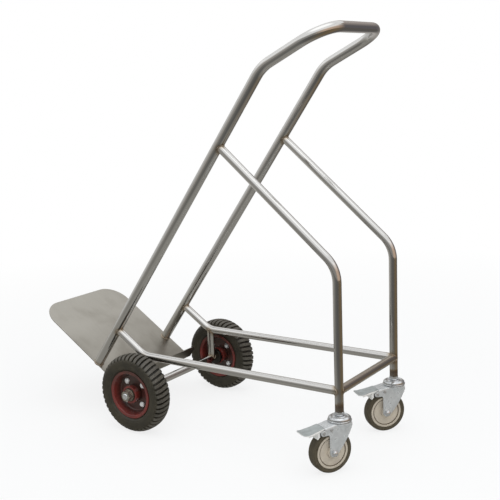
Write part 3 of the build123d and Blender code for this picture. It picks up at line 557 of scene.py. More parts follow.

# %% [markdown]
# ### Plated steel
# Forks, pedals, caps, bolts and nuts are zinc-plated or plain steel, brighter or duller. Each could have nodes
# of its own, but they differ only in tone, in shine and in how metallic the plating looks. So one function
# makes them all from a short list. The pedals' zinc is darker as painted shade, and their steep edges are
# painted near white as a highlight; the pedals' meshes carry where those edges are.

# %% Plated and plain steel
# Each row is two tones, the least and most roughness, the share of metal, and any tone of a painted edge
# highlight.
PLATED = {
    "bright_steel": ((0.88, 0.89, 0.90), (0.80, 0.81, 0.82), 0.16, 0.28, 0.85),
    "dulled_steel": ((0.69, 0.67, 0.62), (0.61, 0.59, 0.55), 0.2, 0.32, 0.85),
    "oily_steel": ((0.38, 0.36, 0.33), (0.27, 0.25, 0.22), 0.25, 0.4, 1.0),
    "dark_steel": ((0.30, 0.29, 0.28), (0.22, 0.21, 0.20), 0.35, 0.5, 1.0),
    "zinc_plate": ((0.81, 0.82, 0.82), (0.75, 0.76, 0.76), 0.26, 0.36, 0.42),
    "shiny_zinc": ((0.84, 0.85, 0.86), (0.76, 0.77, 0.78), 0.12, 0.22, 0.9),
    "white_zinc": ((0.95, 0.95, 0.94), (0.88, 0.88, 0.87), 0.3, 0.4, 0.25),
    # The pedals' zinc is a darker copy as painted shade, because their tops face the light, with a near-white
    # painted highlight on steep edges.
    "trodden_zinc": ((0.71, 0.735, 0.73), (0.645, 0.665, 0.66), 0.3, 0.42, 0.42, (0.97, 0.97, 0.96)),
}


def plated_steel(name, first, second, low, high, metal, highlight_tone=None):
    """Plated steel whose crystals vary a little in tone and shine, with an optional painted highlight on steep
    edges.
    """
    finish, tree, shader = new_finish(name, {"Metallic": metal})
    grain = object_noise(tree, scale=90.0, detail=1.5)
    tone = mixed_colours(tree, spread(tree, grain), first, second)
    if highlight_tone:
        # Steep edges take a painted highlight.
        tone = mixed_colours(tree, carried(tree, "edge_highlight"), tone, highlight_tone)
    cover(tree, shader, tone, spread(tree, grain, low, high))
    raise_surface(tree, shader, object_noise(tree, scale=300.0, detail=1.0), strength=0.03, distance=0.0003)
    return finish


for name, values in PLATED.items():
    keep_finish(name, plated_steel(name, *values))

# %% [markdown]
# ### Moulded plastic
# The caster cores are beige-grey plastic, with painted shade in the groove inside their rim. An ambient
# occlusion node could find the groove, but it would darken other corners too. So the core's mesh carries
# where the groove is.


# %% Moulded plastic of the caster cores
def moulded_plastic():
    """Faintly cloudy plastic with painted shade in its groove."""
    finish, tree, shader = new_finish("moulded_plastic", {"Specular IOR Level": 0.4})
    cloud = object_noise(tree, scale=45.0, detail=4.0)
    tone = mixed_colours(tree, spread(tree, cloud), (0.74, 0.70, 0.63), (0.69, 0.65, 0.59))
    # The groove is painted darker as shade.
    groove_shaded = mixed_colours(tree, carried(tree, "groove_shade"), tone, (0.54, 0.49, 0.42))
    cover(tree, shader, groove_shaded, spread(tree, cloud, 0.4, 0.55))
    raise_surface(tree, shader, object_noise(tree, scale=600.0, detail=2.0), strength=0.06, distance=0.0003)
    return finish


keep_finish("cream_plastic", moulded_plastic())

# %% [markdown]
# ## Skins over rings
# A tube, a tyre, a nut and a pressed cap are all stacks of rings. One could add cylinders and edit them, but
# then each keeps its own habits. Here a piece only says where its rings lie, and one helper lays a closed
# skin over them. Corners are rounded a little on purpose, because no real edge is knife sharp and a rounded
# edge catches a line of light.

# %% Rings into meshes
MM = 0.001
SHARP_ANGLE = math.radians(34)
print("edges stay sharp from", round(math.degrees(SHARP_ANGLE)), "degrees")


def skin(rings, loop):
    """Points and faces over rings. A loop joins the last ring to the first, else both ends are closed."""
    points = [point for ring in rings for point in ring]
    sides = len(rings[0])
    count = len(rings)
    faces = []
    for a in range(count if loop else count - 1):
        first, second = a * sides, (a + 1) % count * sides
        for k in range(sides):
            n = (k + 1) % sides
            faces.append((first + k, first + n, second + n, second + k))
    if not loop:
        for first in (0, (count - 1) * sides):
            centre = len(points)
            points.append(sum(points[first : first + sides], Vector()) / sides)
            faces += [(first + k, first + (k + 1) % sides, centre) for k in range(sides)]
    return points, faces


def tidy_mesh(mesh):
    """Normals outwards, smooth shading, sharp edges kept."""
    work = bmesh.new()
    work.from_mesh(mesh)
    bmesh.ops.recalc_face_normals(work, faces=work.faces)
    work.to_mesh(mesh)
    work.free()
    mesh.shade_smooth()
    mesh.set_sharp_from_angle(angle=SHARP_ANGLE)
    return mesh


def skin_mesh(name, *skins):
    """One mesh from several skins."""
    points, faces = [], []
    for skin_points, skin_faces in skins:
        first = len(points)
        points += skin_points
        faces += [[first + k for k in face] for face in skin_faces]
    mesh = bpy.data.meshes.new(name)
    mesh.from_pydata(points, [], faces)
    return tidy_mesh(mesh)


# %% Meshes into pieces
def carry(mesh, name, values, domain="POINT"):
    """A mesh carries values for its finish."""
    mesh.attributes.new(name, "FLOAT", domain).data.foreach_set("value", values)


def add_piece(mesh, body, slot, *replaced, flat_faces=True, finish=None):
    """A mesh becomes a piece: it wears a finish, rides a body and stands for engineering nodes."""
    mesh.materials.append(finishes[finish or slot])
    piece = bpy.data.objects.new(mesh.name, mesh)
    bpy.context.scene.collection.objects.link(piece)
    if flat_faces:
        piece.modifiers.new("flat_faces", "WEIGHTED_NORMAL").keep_sharp = True
    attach(piece, body)
    if replaced:
        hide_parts(*replaced)
    print("piece", piece.name, "on", body, "with", len(mesh.vertices), "points")


# %% [markdown]
# ## Welded tube frame
# The frame is bent tube: one long tube makes both uprights and the hand grip, and thinner tube makes the
# legs, rails, crossbar, axle tube and posts. Each end is coped, which means cut to sit on the round of its
# mate. A curve object with a bevel gives a quick tube, but it can't be coped, and it carries no record of
# where the welds are. So each tube is a stack of rings along its centre line, and its first and last ring
# lie on the mate.

# %% Places of the frame
MAIN_RADIUS, MAIN_WALL = 0.0125, 0.0015
THIN_RADIUS, THIN_WALL = 0.010, 0.0012
UPRIGHT_LEAN, HANDLE_LEAN, PLATE_TILT, LEG_SLOPE = 36.1, 64.0, 33.2, 40.5
FOOT_AHEAD, FOOT_HEIGHT = 0.1665, 0.141
UPRIGHT_LENGTH, HANDLE_REACH = 0.9325, 0.1795
LEG_UP, RAIL_UP = 0.719, 0.126
RAIL_HEIGHT, RAIL_KNEE_AHEAD = 0.183, 0.004
SIDES = {"left": 1, "right": -1}


def leaning(degrees):
    """The upward direction that leans back from the vertical."""
    return Vector((-math.sin(math.radians(degrees)), 0, math.cos(math.radians(degrees))))


hub = Vector(joints["front_wheel_left_spin"]["pos_m"])
stem = Vector(joints["caster_left_swivel"]["pos_m"])
up_the_frame = leaning(UPRIGHT_LEAN)
plate_normal = leaning(PLATE_TILT)
foot = Vector((hub.x + FOOT_AHEAD, 0, FOOT_HEIGHT))
handle_bend = foot + up_the_frame * UPRIGHT_LENGTH
grip = handle_bend + leaning(HANDLE_LEAN) * HANDLE_REACH
leg_top = foot + up_the_frame * LEG_UP
leg_knee = Vector((stem.x, 0, leg_top.z - (leg_top.x - stem.x) * math.tan(math.radians(LEG_SLOPE))))
leg_end = Vector((stem.x, 0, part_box("rear_leg_left")[0].z))
rail_top = foot + up_the_frame * RAIL_UP
rail_knee = Vector((hub.x + RAIL_KNEE_AHEAD, 0, RAIL_HEIGHT))
rail_end = Vector((stem.x, 0, RAIL_HEIGHT))
axle_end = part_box("axle_tube")[1].y
print("grip", [round(v, 4) for v in grip], "leg knee", [round(v, 4) for v in leg_knee])

# %% Centre lines with round bends
LINE_STEP = 0.005
HANDLE_BEND, GRIP_BEND = 0.095, 0.068


def beside(point, side):
    """A point of the middle plane moved to the left or right side frame."""
    return Vector((point.x, side * stem.y, point.z))


def bent_line(corners, *radii):
    """Points along straight runs that tangent arcs join."""
    points = [corners[0]]

    def run_to(end):
        start = points[-1]
        count = max(1, round((end - start).length / LINE_STEP))
        points.extend(start.lerp(end, k / count) for k in range(1, count + 1))

    for before, corner, after, radius in zip(corners, corners[1:], corners[2:], radii):
        into = (corner - before).normalized()
        out = (after - corner).normalized()
        turn = into.angle(out)
        run_to(corner - into * (radius * math.tan(turn / 2)))
        pole = into.cross(out).normalized()
        centre = points[-1] + pole.cross(into) * radius
        spoke = points[-1] - centre
        count = round(radius * turn / LINE_STEP)
        turns = [Matrix.Rotation(turn * k / count, 3, pole) for k in range(1, count + 1)]
        points.extend(centre + part @ spoke for part in turns)
    run_to(corners[-1])
    return points


below = foot - up_the_frame * (2 * MAIN_RADIUS)
handle_corners = [beside(p, 1) for p in (below, handle_bend, grip)]
handle_corners += [beside(p, -1) for p in (grip, handle_bend, below)]
handle_line = bent_line(handle_corners, HANDLE_BEND, GRIP_BEND, GRIP_BEND, HANDLE_BEND)
print("handle line", len(handle_line), "points")

# %% Coped ends
SEAT = 0.0003


def square_end(start, way):
    """A plain cut: no way to run."""
    return 0.0


def on_tube(point, along, radius):
    """A cope: how far a straight line runs until it comes out of a round tube."""

    def reach(start, way):
        offset = start - point
        offset = offset - along * offset.dot(along)
        step = way - along * way.dot(along)
        a, b = step.length_squared, offset.dot(step)
        inside = max(0.0, b * b - a * (offset.length_squared - radius**2))
        return (math.sqrt(inside) - b) / a

    return reach


def on_plane(point, normal):
    """A mitre: how far a straight line runs to a plane."""

    def reach(start, way):
        return (point - start).dot(normal) / way.dot(normal)

    return reach


def on_corner(first, second, origin, towards):
    """A cope on one tube, and on a second one that only starts at the origin."""

    def reach(start, way):
        if (start - origin).dot(towards) <= 0:
            return first(start, way)
        return max(first(start, way), second(start, way))

    return reach


straight_cope = on_tube(Vector(), Vector((0, 0, 1)), MAIN_RADIUS - SEAT)(Vector(), Vector((1, 0, 0)))
print("a tube that meets an upright squarely starts", round(straight_cope / MM, 2), "mm off its middle")


# %% Directions along a line
def carried_frames(line):
    """The direction of a line at each point, with two directions square to it, carried without twist."""
    last = len(line) - 1
    ways = [(line[min(k + 1, last)] - line[max(k - 1, 0)]).normalized() for k in range(last + 1)]
    side = ways[0].orthogonal()
    frames = []
    for way in ways:
        side = (side - way * side.dot(way)).normalized()
        frames.append((way, side, way.cross(side)))
    return frames


print("handle starts up", [round(v, 3) for v in carried_frames(handle_line)[0][0]])

# %% Tubes from rings
TUBE_SIDES = 40
SOCKET = 0.02
tube_angles = [2 * math.pi * k / TUBE_SIDES for k in range(TUBE_SIDES)]
tubes = []
print("each ring of a tube has", TUBE_SIDES, "points")


def tube_mesh(name, line, radius, wall, start, end):
    """A tube along a line. Both ends sit on their mates and are open to a short bore."""
    frames = carried_frames(line)

    def spokes(k, size):
        way, side, other = frames[k]
        return [side * (size * math.cos(a)) + other * (size * math.sin(a)) for a in tube_angles]

    def end_rings(k, way, reach):
        outside = [line[k] + spoke for spoke in spokes(k, radius)]
        inside = [line[k] + spoke for spoke in spokes(k, radius - wall)]
        depth = max(reach(p, way) for p in outside)
        rim = [p + way * reach(p, way) for p in outside]
        lip = [p + way * reach(p, way) for p in inside]
        return depth, [[p + way * (depth + SOCKET) for p in inside], lip, rim]

    start_depth, first_rings = end_rings(0, frames[0][0], start)
    end_depth, last_rings = end_rings(-1, -frames[-1][0], end)
    lengths = [0.0]
    for a, b in zip(line, line[1:]):
        lengths.append(lengths[-1] + (b - a).length)
    kept = [k for k, s in enumerate(lengths) if start_depth + MM < s < lengths[-1] - end_depth - MM]
    rings = first_rings + [[line[k] + spoke for spoke in spokes(k, radius)] for k in kept] + last_rings[::-1]
    mesh = skin_mesh(name, skin(rings, loop=False))
    way_along = [start_depth] * 3 + [lengths[k] for k in kept] + [lengths[-1] - end_depth] * 3
    lay = [(s, radius * math.cos(a), radius * math.sin(a)) for s in way_along for a in tube_angles]
    lay += [(way_along[0], 0, 0), (way_along[-1], 0, 0)]
    lay_vectors = mesh.attributes.new("lay", "FLOAT_VECTOR", "POINT").data
    lay_vectors.foreach_set("vector", [v for row in lay for v in row])
    return mesh


def add_tube(name, node, line, radius, wall, start, end):
    """A tube becomes a piece, and is kept in a list for the heat of the welds."""
    mesh = tube_mesh(name, line, radius, wall, start, end)
    tubes.append(mesh)
    add_piece(mesh, "frame", "stainless_tube", node, flat_faces=False)


# %% Handle and axle tubes
PLATE_SHEET = 3 * MM
under_plate = on_plane(foot - plate_normal * PLATE_SHEET, plate_normal)
add_tube("handle_tube", "handle_frame", handle_line, MAIN_RADIUS, MAIN_WALL, under_plate, under_plate)
axle_line = bent_line([Vector((hub.x, y, hub.z)) for y in (-axle_end, axle_end)])
add_tube("axle_sleeve", "axle_tube", axle_line, THIN_RADIUS, THIN_WALL, square_end, square_end)

# %% Legs, rails, posts and crossbar
LEG_BEND, RAIL_BEND = 0.072, 0.060
X_WAY, Y_WAY, Z_WAY = Vector((1, 0, 0)), Vector((0, 1, 0)), Vector((0, 0, 1))
rail_turn = math.atan2(rail_top.z - rail_knee.z, rail_top.x - rail_knee.x)
bend_starts = rail_knee.x - RAIL_BEND * math.tan(rail_turn / 2)
post_lean = math.asin((hub.x - bend_starts) / RAIL_BEND)
post_top = Vector((hub.x, 0, RAIL_HEIGHT + RAIL_BEND * (1 - math.cos(post_lean))))
rail_way = Vector((math.cos(post_lean), 0, math.sin(post_lean)))
seams = []
for name, side in SIDES.items():
    corner = beside(rail_end, side)
    on_upright = on_tube(beside(foot, side), up_the_frame, MAIN_RADIUS - SEAT)
    on_leg = on_tube(corner, Z_WAY, THIN_RADIUS - SEAT)
    on_rail = on_tube(beside(post_top, side), rail_way, THIN_RADIUS - SEAT)
    on_axle = on_tube(hub, Y_WAY, THIN_RADIUS - SEAT)
    leg_line = bent_line([beside(p, side) for p in (leg_top, leg_knee, leg_end)], LEG_BEND)
    rail_line = bent_line([beside(p, side) for p in (rail_top, rail_knee, rail_end)], RAIL_BEND)
    post_line = bent_line([beside(p, side) for p in (hub, post_top)])
    add_tube(f"leg_tube_{name}", f"rear_leg_{name}", leg_line, THIN_RADIUS, THIN_WALL, on_upright, square_end)
    add_tube(f"rail_tube_{name}", f"side_rail_{name}", rail_line, THIN_RADIUS, THIN_WALL, on_upright, on_leg)
    add_tube(f"post_tube_{name}", f"axle_post_{name}", post_line, THIN_RADIUS, THIN_WALL, on_axle, on_rail)
    seams += [
        (leg_line[0], (leg_line[1] - leg_line[0]).normalized(), THIN_RADIUS, on_upright),
        (rail_line[0], (rail_line[1] - rail_line[0]).normalized(), THIN_RADIUS, on_upright),
        (corner, X_WAY, THIN_RADIUS, on_leg),
        (corner, Y_WAY * -side, THIN_RADIUS, on_leg),
        (post_line[0], Z_WAY, THIN_RADIUS, on_axle),
        (post_line[-1], -Z_WAY, THIN_RADIUS, on_rail),
        (beside(below, side), up_the_frame, MAIN_RADIUS, on_plane(foot, plate_normal)),
    ]
crossbar_corners = [beside(rail_end, side) for side in (-1, 1)]
crossbar_line = bent_line(crossbar_corners)
crossbar_ends = []
for corner in crossbar_corners:
    on_leg, on_rail = (on_tube(corner, way, THIN_RADIUS - SEAT) for way in (Z_WAY, X_WAY))
    crossbar_ends.append(on_corner(on_leg, on_rail, corner, X_WAY))
add_tube("crossbar_tube", "rear_crossbar", crossbar_line, THIN_RADIUS, THIN_WALL, *crossbar_ends)
print("tubes", len(tubes), "seams", len(seams))

# %% [markdown]
# ## Weld beads and heat
# A welder closes each seam with a bead that is laid drop by drop, and the heat leaves a brown tint beside it.
# A plain ring with a bump texture could stand for a bead, but a coped seam is not a flat ring. So the line
# where a tube comes out of its mate is worked out point by point, and a rippled skin runs along it. Every
# point of a tube then learns how near it is to a weld. The feet of the legs were heated most, and the
# crossbar has a faint stain all along.

# %% Weld beads along the seams
BEAD_RADIUS = 0.0014
BEAD_RINGS = 108
BEAD_SIDES = 8
RIPPLE = (0.88, 1.03, 1.09)
RIPPLE_VARIES = (0.94, 1.06)
bead_angles = [2 * math.pi * k / BEAD_SIDES for k in range(BEAD_SIDES)]
random.seed(11)


def crossing_directions(axis):
    """Two directions square to an axis and to each other."""
    first = axis.orthogonal().normalized()
    return first, axis.cross(first)


def bead_line(point, way, radius, reach):
    """The closed line where the outside of a tube meets its mate."""
    first, second = crossing_directions(way)
    line = []
    for k in range(BEAD_RINGS):
        angle = 2 * math.pi * k / BEAD_RINGS
        start = point + first * (radius * math.cos(angle)) + second * (radius * math.sin(angle))
        line.append(start + way * reach(start, way))
    return line


def bead_skin(line, way):
    """A rippled bead along a closed line."""
    rings = []
    for k, point in enumerate(line):
        tangent = (line[(k + 1) % BEAD_RINGS] - line[k - 1]).normalized()
        first = (way - tangent * way.dot(tangent)).normalized()
        second = tangent.cross(first)
        size = BEAD_RADIUS * RIPPLE[k % len(RIPPLE)] * random.uniform(*RIPPLE_VARIES)
        spokes = [first * (size * math.cos(a)) + second * (size * math.sin(a)) for a in bead_angles]
        rings.append([point + spoke for spoke in spokes])
    return skin(rings, loop=True)


bead_lines = [(bead_line(*seam), seam[1]) for seam in seams]
beads = skin_mesh("weld_beads", *[bead_skin(line, way) for line, way in bead_lines])
add_piece(beads, "frame", "stainless_tube", flat_faces=False)

# %% Heat near welds and at the feet of the legs
WELD_HEAT, WELD_REACH = 0.5, 0.0044
FOOT_HEAT, FOOT_REACH = 1.0, 0.0165
HEAT_FALL = 4
BEAD_HEAT, BEAD_HEAT_VARIES = 0.42, (0.8, 1.2)
CROSSBAR_STAIN = 0.2
BEAD_POINT_STEP = 4
hot_places = [(p, WELD_HEAT, WELD_REACH) for line, way in bead_lines for p in line[::BEAD_POINT_STEP]]
for side in SIDES.values():
    for a in tube_angles:
        rim = Vector((THIN_RADIUS * math.cos(a), THIN_RADIUS * math.sin(a), 0))
        hot_places.append((beside(leg_end, side) + rim, FOOT_HEAT, FOOT_REACH))
near = KDTree(len(hot_places))
for k, hot_place in enumerate(hot_places):
    near.insert(hot_place[0], k)
near.balance()


def heat_at(point):
    """How hot the nearest hot place made a point."""
    place, k, distance = near.find(point)
    strength, reach = hot_places[k][1:]
    return strength / (1 + (distance / reach) ** HEAT_FALL)


for mesh in tubes:
    least = CROSSBAR_STAIN if mesh.name == "crossbar_tube" else 0.0
    carry(mesh, "weld_tint", [max(least, heat_at(vertex.co)) for vertex in mesh.vertices])
carry(beads, "weld_tint", [BEAD_HEAT * random.uniform(*BEAD_HEAT_VARIES) for vertex in beads.vertices])
print("hot places", len(hot_places))

# %% [markdown]
# ## Pressed sheet
# The toe plate, the caster forks, the pedals and their leaf springs are cut and folded from sheet. The
# engineering shapes are right to the millimetre, so they could stay as they are. Their edges are perfectly
# sharp, though, and sheared and plated sheet never is. A copy of each mesh gets its edges rounded by a bevel.

# %% A softened copy of a sheet piece
FOLD_ANGLE, FLAT_ANGLE = math.radians(40), math.radians(0.6)
SEAT_RADIUS, SEAT_LOW = 27 * MM, 111.5 * MM
SAME_POINT, THIN_EDGE = 0.002 * MM, 0.01 * MM
BEVEL_PROFILE = 0.5
print("folds of more than", round(math.degrees(FOLD_ANGLE)), "degrees are rounded")


def softened_copy(name, node, width, steps=2, seat=None):
    """A copy of a node's mesh with its sharp edges rounded off, except at the seat under a cap."""

    def to_round(edge):
        middle = (edge.verts[0].co + edge.verts[1].co) / 2
        if seat and middle.z > SEAT_LOW and (middle.xy - seat.xy).length < SEAT_RADIUS:
            return False
        return len(edge.link_faces) == 2 and edge.calc_face_angle() > FOLD_ANGLE

    work = bmesh.new()
    work.from_mesh(nodes[node].data)
    bmesh.ops.remove_doubles(work, verts=work.verts, dist=SAME_POINT)
    bmesh.ops.dissolve_limit(work, angle_limit=FLAT_ANGLE, verts=work.verts, edges=work.edges)
    sheet = BVHTree.FromBMesh(work)
    sharp = [edge for edge in work.edges if to_round(edge)]
    bevel = {"offset": width, "segments": steps, "profile": BEVEL_PROFILE, "clamp_overlap": False}
    bmesh.ops.bevel(work, geom=sharp, affect="EDGES", **bevel)
    for vertex in work.verts:
        place, *_, distance = sheet.find_nearest(vertex.co)
        if distance > width / 2:
            vertex.co = place
    bmesh.ops.dissolve_degenerate(work, dist=THIN_EDGE, edges=work.edges)
    bmesh.ops.triangulate(work, faces=[f for f in work.faces if len(f.verts) > 4])
    mesh = bpy.data.meshes.new(name)
    work.to_mesh(mesh)
    work.free()
    return tidy_mesh(mesh)


# %% Toe plate, forks, pedals and leaf springs
PLATE_EDGE, PRESSED_EDGE, LEAF_EDGE = 0.7 * MM, 0.45 * MM, 0.2 * MM
PLATE_EDGE_STEPS = 3
EDGE_STEEPNESS = 0.75
plate = softened_copy("plate_sheet", "toe_plate", PLATE_EDGE, PLATE_EDGE_STEPS)
add_piece(plate, "frame", "stainless_plate", "toe_plate")
sheet_pieces = [
    ("caster_fork", "fork_sheet", "caster", PRESSED_EDGE, "zinc_plate", None),
    ("brake_pedal", "pedal_sheet", "brake", PRESSED_EDGE, "zinc_plate", "trodden_zinc"),
    ("brake_leaf", "leaf_spring", "caster", LEAF_EDGE, "dark_steel", None),
]
for name in SIDES:
    seat = Vector(joints[f"caster_{name}_swivel"]["pos_m"])
    for node, piece, body, width, slot, finish in sheet_pieces:
        mesh = softened_copy(f"{piece}_{name}", f"{node}_{name}", width, seat=seat)
        if finish == "trodden_zinc":
            # Steep faces of the pedal carry where the painted edge highlight goes.
            edges = [float(abs(face.normal.z) < EDGE_STEEPNESS) for face in mesh.polygons]
            carry(mesh, "edge_highlight", edges, "FACE")
        add_piece(mesh, f"{body}_{name}", slot, f"{node}_{name}", finish=finish)

# %% [markdown]
# ## Front tyres
# Each front wheel has a solid rubber tyre with slanted lugs. The lugs could be cut with a boolean, but that
# leaves knife edges. Instead the tyre is one grid: its rows follow the round section from bead to bead, and
# its columns crowd together at the edges of the lugs, so that each groove gets steep walls and rounded rims.

# %% Section and lugs of a tyre, in millimetres
TYRE_MIDDLE = 79.0
TYRE_HALF_WIDTH, GROOVE_HALF_WIDTH = 27.2, 24.3
TYRE_RISE, GROOVE_RISE = 21.0, 15.6
TYRE_FULLNESS = 2 / 2.6
LUG_COUNT = 46
LUG_SLANT = math.tan(math.radians(8))
SIDEWALL_TONE = 0.5
GROOVE_FULL, GROOVE_ENDS = 56, 69
LUG_COLUMNS = [
    (-0.285, 0.0), (-0.10, 0.0), (0.10, 0.0), (0.285, 0.0), (0.306, 0.16), (0.330, 0.84),
    (0.352, 1.0), (0.5, 1.0), (0.648, 1.0), (0.670, 0.84), (0.694, 0.16),
]
SIDE_RING_RADIUS, SIDE_RING_HEIGHT, SIDE_RING_SPREAD = 70.5, 0.45, 1.1
TYRE_BEAD = [(-20.1, 56.9), (0.0, 48.9), (20.1, 56.9)]
section_angles = [-47, -41, -35, -30] + [-27 + 2 * k for k in range(9)] + [-6 + 6 * k for k in range(33)]
section_angles += [191 + 2 * k for k in range(9)] + [210, 215, 221, 227]


def tyre_point(degrees, half_width, rise):
    """A point of the rounded section: distance across the wheel and distance from its axis."""
    c, s = math.cos(math.radians(degrees)), math.sin(math.radians(degrees))
    across = math.copysign(abs(c) ** TYRE_FULLNESS, c) * half_width
    out = TYRE_MIDDLE + math.copysign(abs(s) ** TYRE_FULLNESS, s) * rise
    return Vector((across, out))


def tyre_rows():
    """For each row of the grid its place on a lug and in a groove, and how far the groove is open there."""
    rows = []
    for degrees in section_angles:
        top = tyre_point(degrees, TYRE_HALF_WIDTH, TYRE_RISE)
        groove = tyre_point(degrees, GROOVE_HALF_WIDTH, GROOVE_RISE)
        fade = (GROOVE_ENDS - abs(degrees - 90)) / (GROOVE_ENDS - GROOVE_FULL)
        rows.append((top, groove, min(max(fade, 0.0), 1.0)))
    return rows + [(Vector(corner), Vector(corner), 0.0) for corner in TYRE_BEAD]


print("tyre grid", len(tyre_rows()), "rows,", LUG_COUNT * len(LUG_COLUMNS), "columns")

# %% Both tyres
front_wheels = []
for name, side in SIDES.items():
    front_wheels.append((name, f"front_wheel_{name}", Vector((hub.x, side * hub.y, hub.z)), Y_WAY * side))


def tyre_skin(place, outward):
    """The tyre's skin, and for each point how high it lies on the tread."""
    rings, tone = [], []
    for top, groove, fade in tyre_rows():
        tones = [SIDEWALL_TONE + fade * (1 - depth - SIDEWALL_TONE) for part, depth in LUG_COLUMNS]
        tone += tones * LUG_COUNT
        ring = []
        for lug in range(LUG_COUNT):
            for part, depth in LUG_COLUMNS:
                across, out = top.lerp(groove, depth * fade)
                bulge = SIDE_RING_HEIGHT * math.exp(-(((out - SIDE_RING_RADIUS) / SIDE_RING_SPREAD) ** 2))
                angle = 2 * math.pi * (lug + part) / LUG_COUNT + LUG_SLANT * top.x / TYRE_MIDDLE
                spoke = Vector((math.cos(angle), 0, math.sin(angle)))
                sideways = across - math.copysign(bulge, across)
                ring.append(place + spoke * (out * MM) + outward * (sideways * MM))
        rings.append(ring)
    return skin(rings, loop=True), tone


for name, wheel, place, outward in front_wheels:
    grid, tone = tyre_skin(place, outward)
    tyre = skin_mesh(f"lug_tyre_{name}", grid)
    carry(tyre, "tread_tone", tone)
    add_piece(tyre, wheel, "black_rubber", f"tyre_{name}", flat_faces=False)

# %% [markdown]
# ## Rims, hubs and bearings
# A split rim of two pressed halves is clamped round a hub with two bearings. Pressed and turned parts are
# round, so a screw modifier could spin them from a line. A section of corners with a radius at each says the
# same in a few numbers, in the way that a drawing does, and the skin helper closes it.

# %% Turned skins
CORNER_SHARE = 0.45


def rounded_section(corners, soft, loop=True, steps=4):
    """Corners of a section in millimetres, each rounded by its own third number or else by soft."""
    points = []
    count = len(corners)
    for k, corner in enumerate(corners):
        here = Vector(corner[:2])
        size = corner[2] if len(corner) > 2 else soft
        if size == 0 or not loop and k in (0, count - 1):
            points.append(here)
            continue
        into = Vector(corners[k - 1][:2]) - here
        out = Vector(corners[(k + 1) % count][:2]) - here
        turn = math.pi - into.angle(out)
        reach = min(size * math.tan(turn / 2), CORNER_SHARE * into.length, CORNER_SHARE * out.length)
        start = here + into.normalized() * reach
        end = here + out.normalized() * reach
        for j in range(steps + 1):
            t = j / steps
            points.append(start * (1 - t) ** 2 + here * (2 * t * (1 - t)) + end * t**2)
    return points


def turned(section, place, axis, loop=True, sides=64):
    """A skin turned about an axis through a place, from points of (radius, height) in millimetres."""
    first, second = crossing_directions(axis)
    angles = [2 * math.pi * k / sides for k in range(sides)]
    spokes = [first * math.cos(a) + second * math.sin(a) for a in angles]
    rings = []
    for radius, height in section:
        rings.append([place + axis * (height * MM) + spoke * (radius * MM) for spoke in spokes])
    return skin(rings, loop)


def other_way(section):
    """A section mirrored to the other side of the wheel."""
    return [(corner[0], -corner[1], *corner[2:]) for corner in section]


square_section = [(1, 0), (2, 0), (2, 1), (1, 1)]
print("a square of 4 corners is rounded to", len(rounded_section(square_section, 0.2)), "points")

# %% Rims, hubs and bearings, in millimetres
RIM_HALF_SECTION = [
    (22.7, 0.0), (48.5, 0.0, 2.0), (56.5, 20.5, 1.5), (61.7, 20.5), (61.7, 23.0, 1.1),
    (54.0, 23.0, 3.0), (46.0, 2.5, 5.0), (22.7, 2.5),
]
HUB_SECTION = [
    (12.0, -12.0), (17.5, -12.0), (17.5, -23.0), (22.5, -23.0, 1.0), (22.5, 23.0, 1.0), (17.5, 23.0),
    (17.5, 12.0), (12.0, 12.0),
]
BEARING_SECTION = [
    (8.05, 12.0), (17.35, 12.0), (17.35, 23.0), (14.6, 23.0), (14.4, 22.3), (11.4, 22.3),
    (11.2, 23.0), (8.05, 23.0),
]
RIM_SOFT, HUB_SOFT, RACE_SOFT = 0.5, 0.4, 0.35
LARGE_SIDES = 96
for name, wheel, place, outward in front_wheels:
    for half, section in (("outer", RIM_HALF_SECTION), ("inner", other_way(RIM_HALF_SECTION))):
        press = turned(rounded_section(section, RIM_SOFT), place, outward, sides=LARGE_SIDES)
        add_piece(skin_mesh(f"rim_press_{half}_{name}", press), wheel, "red_paint", f"rim_{half}_{name}")
    barrel = skin_mesh(f"hub_barrel_{name}", turned(rounded_section(HUB_SECTION, HUB_SOFT), place, outward))
    add_piece(barrel, wheel, "red_paint", f"hub_{name}")
    race_sections = BEARING_SECTION, other_way(BEARING_SECTION)
    races = [turned(rounded_section(section, RACE_SOFT), place, outward) for section in race_sections]
    bearings = skin_mesh(f"bearing_races_{name}", *races)
    add_piece(bearings, wheel, "bright_steel", f"wheel_bearings_{name}", finish="oily_steel")

# %% [markdown]
# ## Bolts and nuts
# Four bolts clamp each rim. A real nut starts as a hexagon bar whose corners are turned off to a cone, which
# leaves the curved line on each flat. A six-sided cylinder has no such line. So a nut is a stack of rings
# too: each point asks how far the hexagon reaches in its direction, and the cone lowers it there.

# %% Six-sided skins
HEX_SIDES = 48
HEX_CHAMFER = math.tan(math.radians(30))
FOOT_SHARE, FACE_SHARE = 0.95, 0.93
BORE_CHAMFER = 0.6
DOME_STEPS = 8
print("each ring of a nut has", HEX_SIDES, "points")


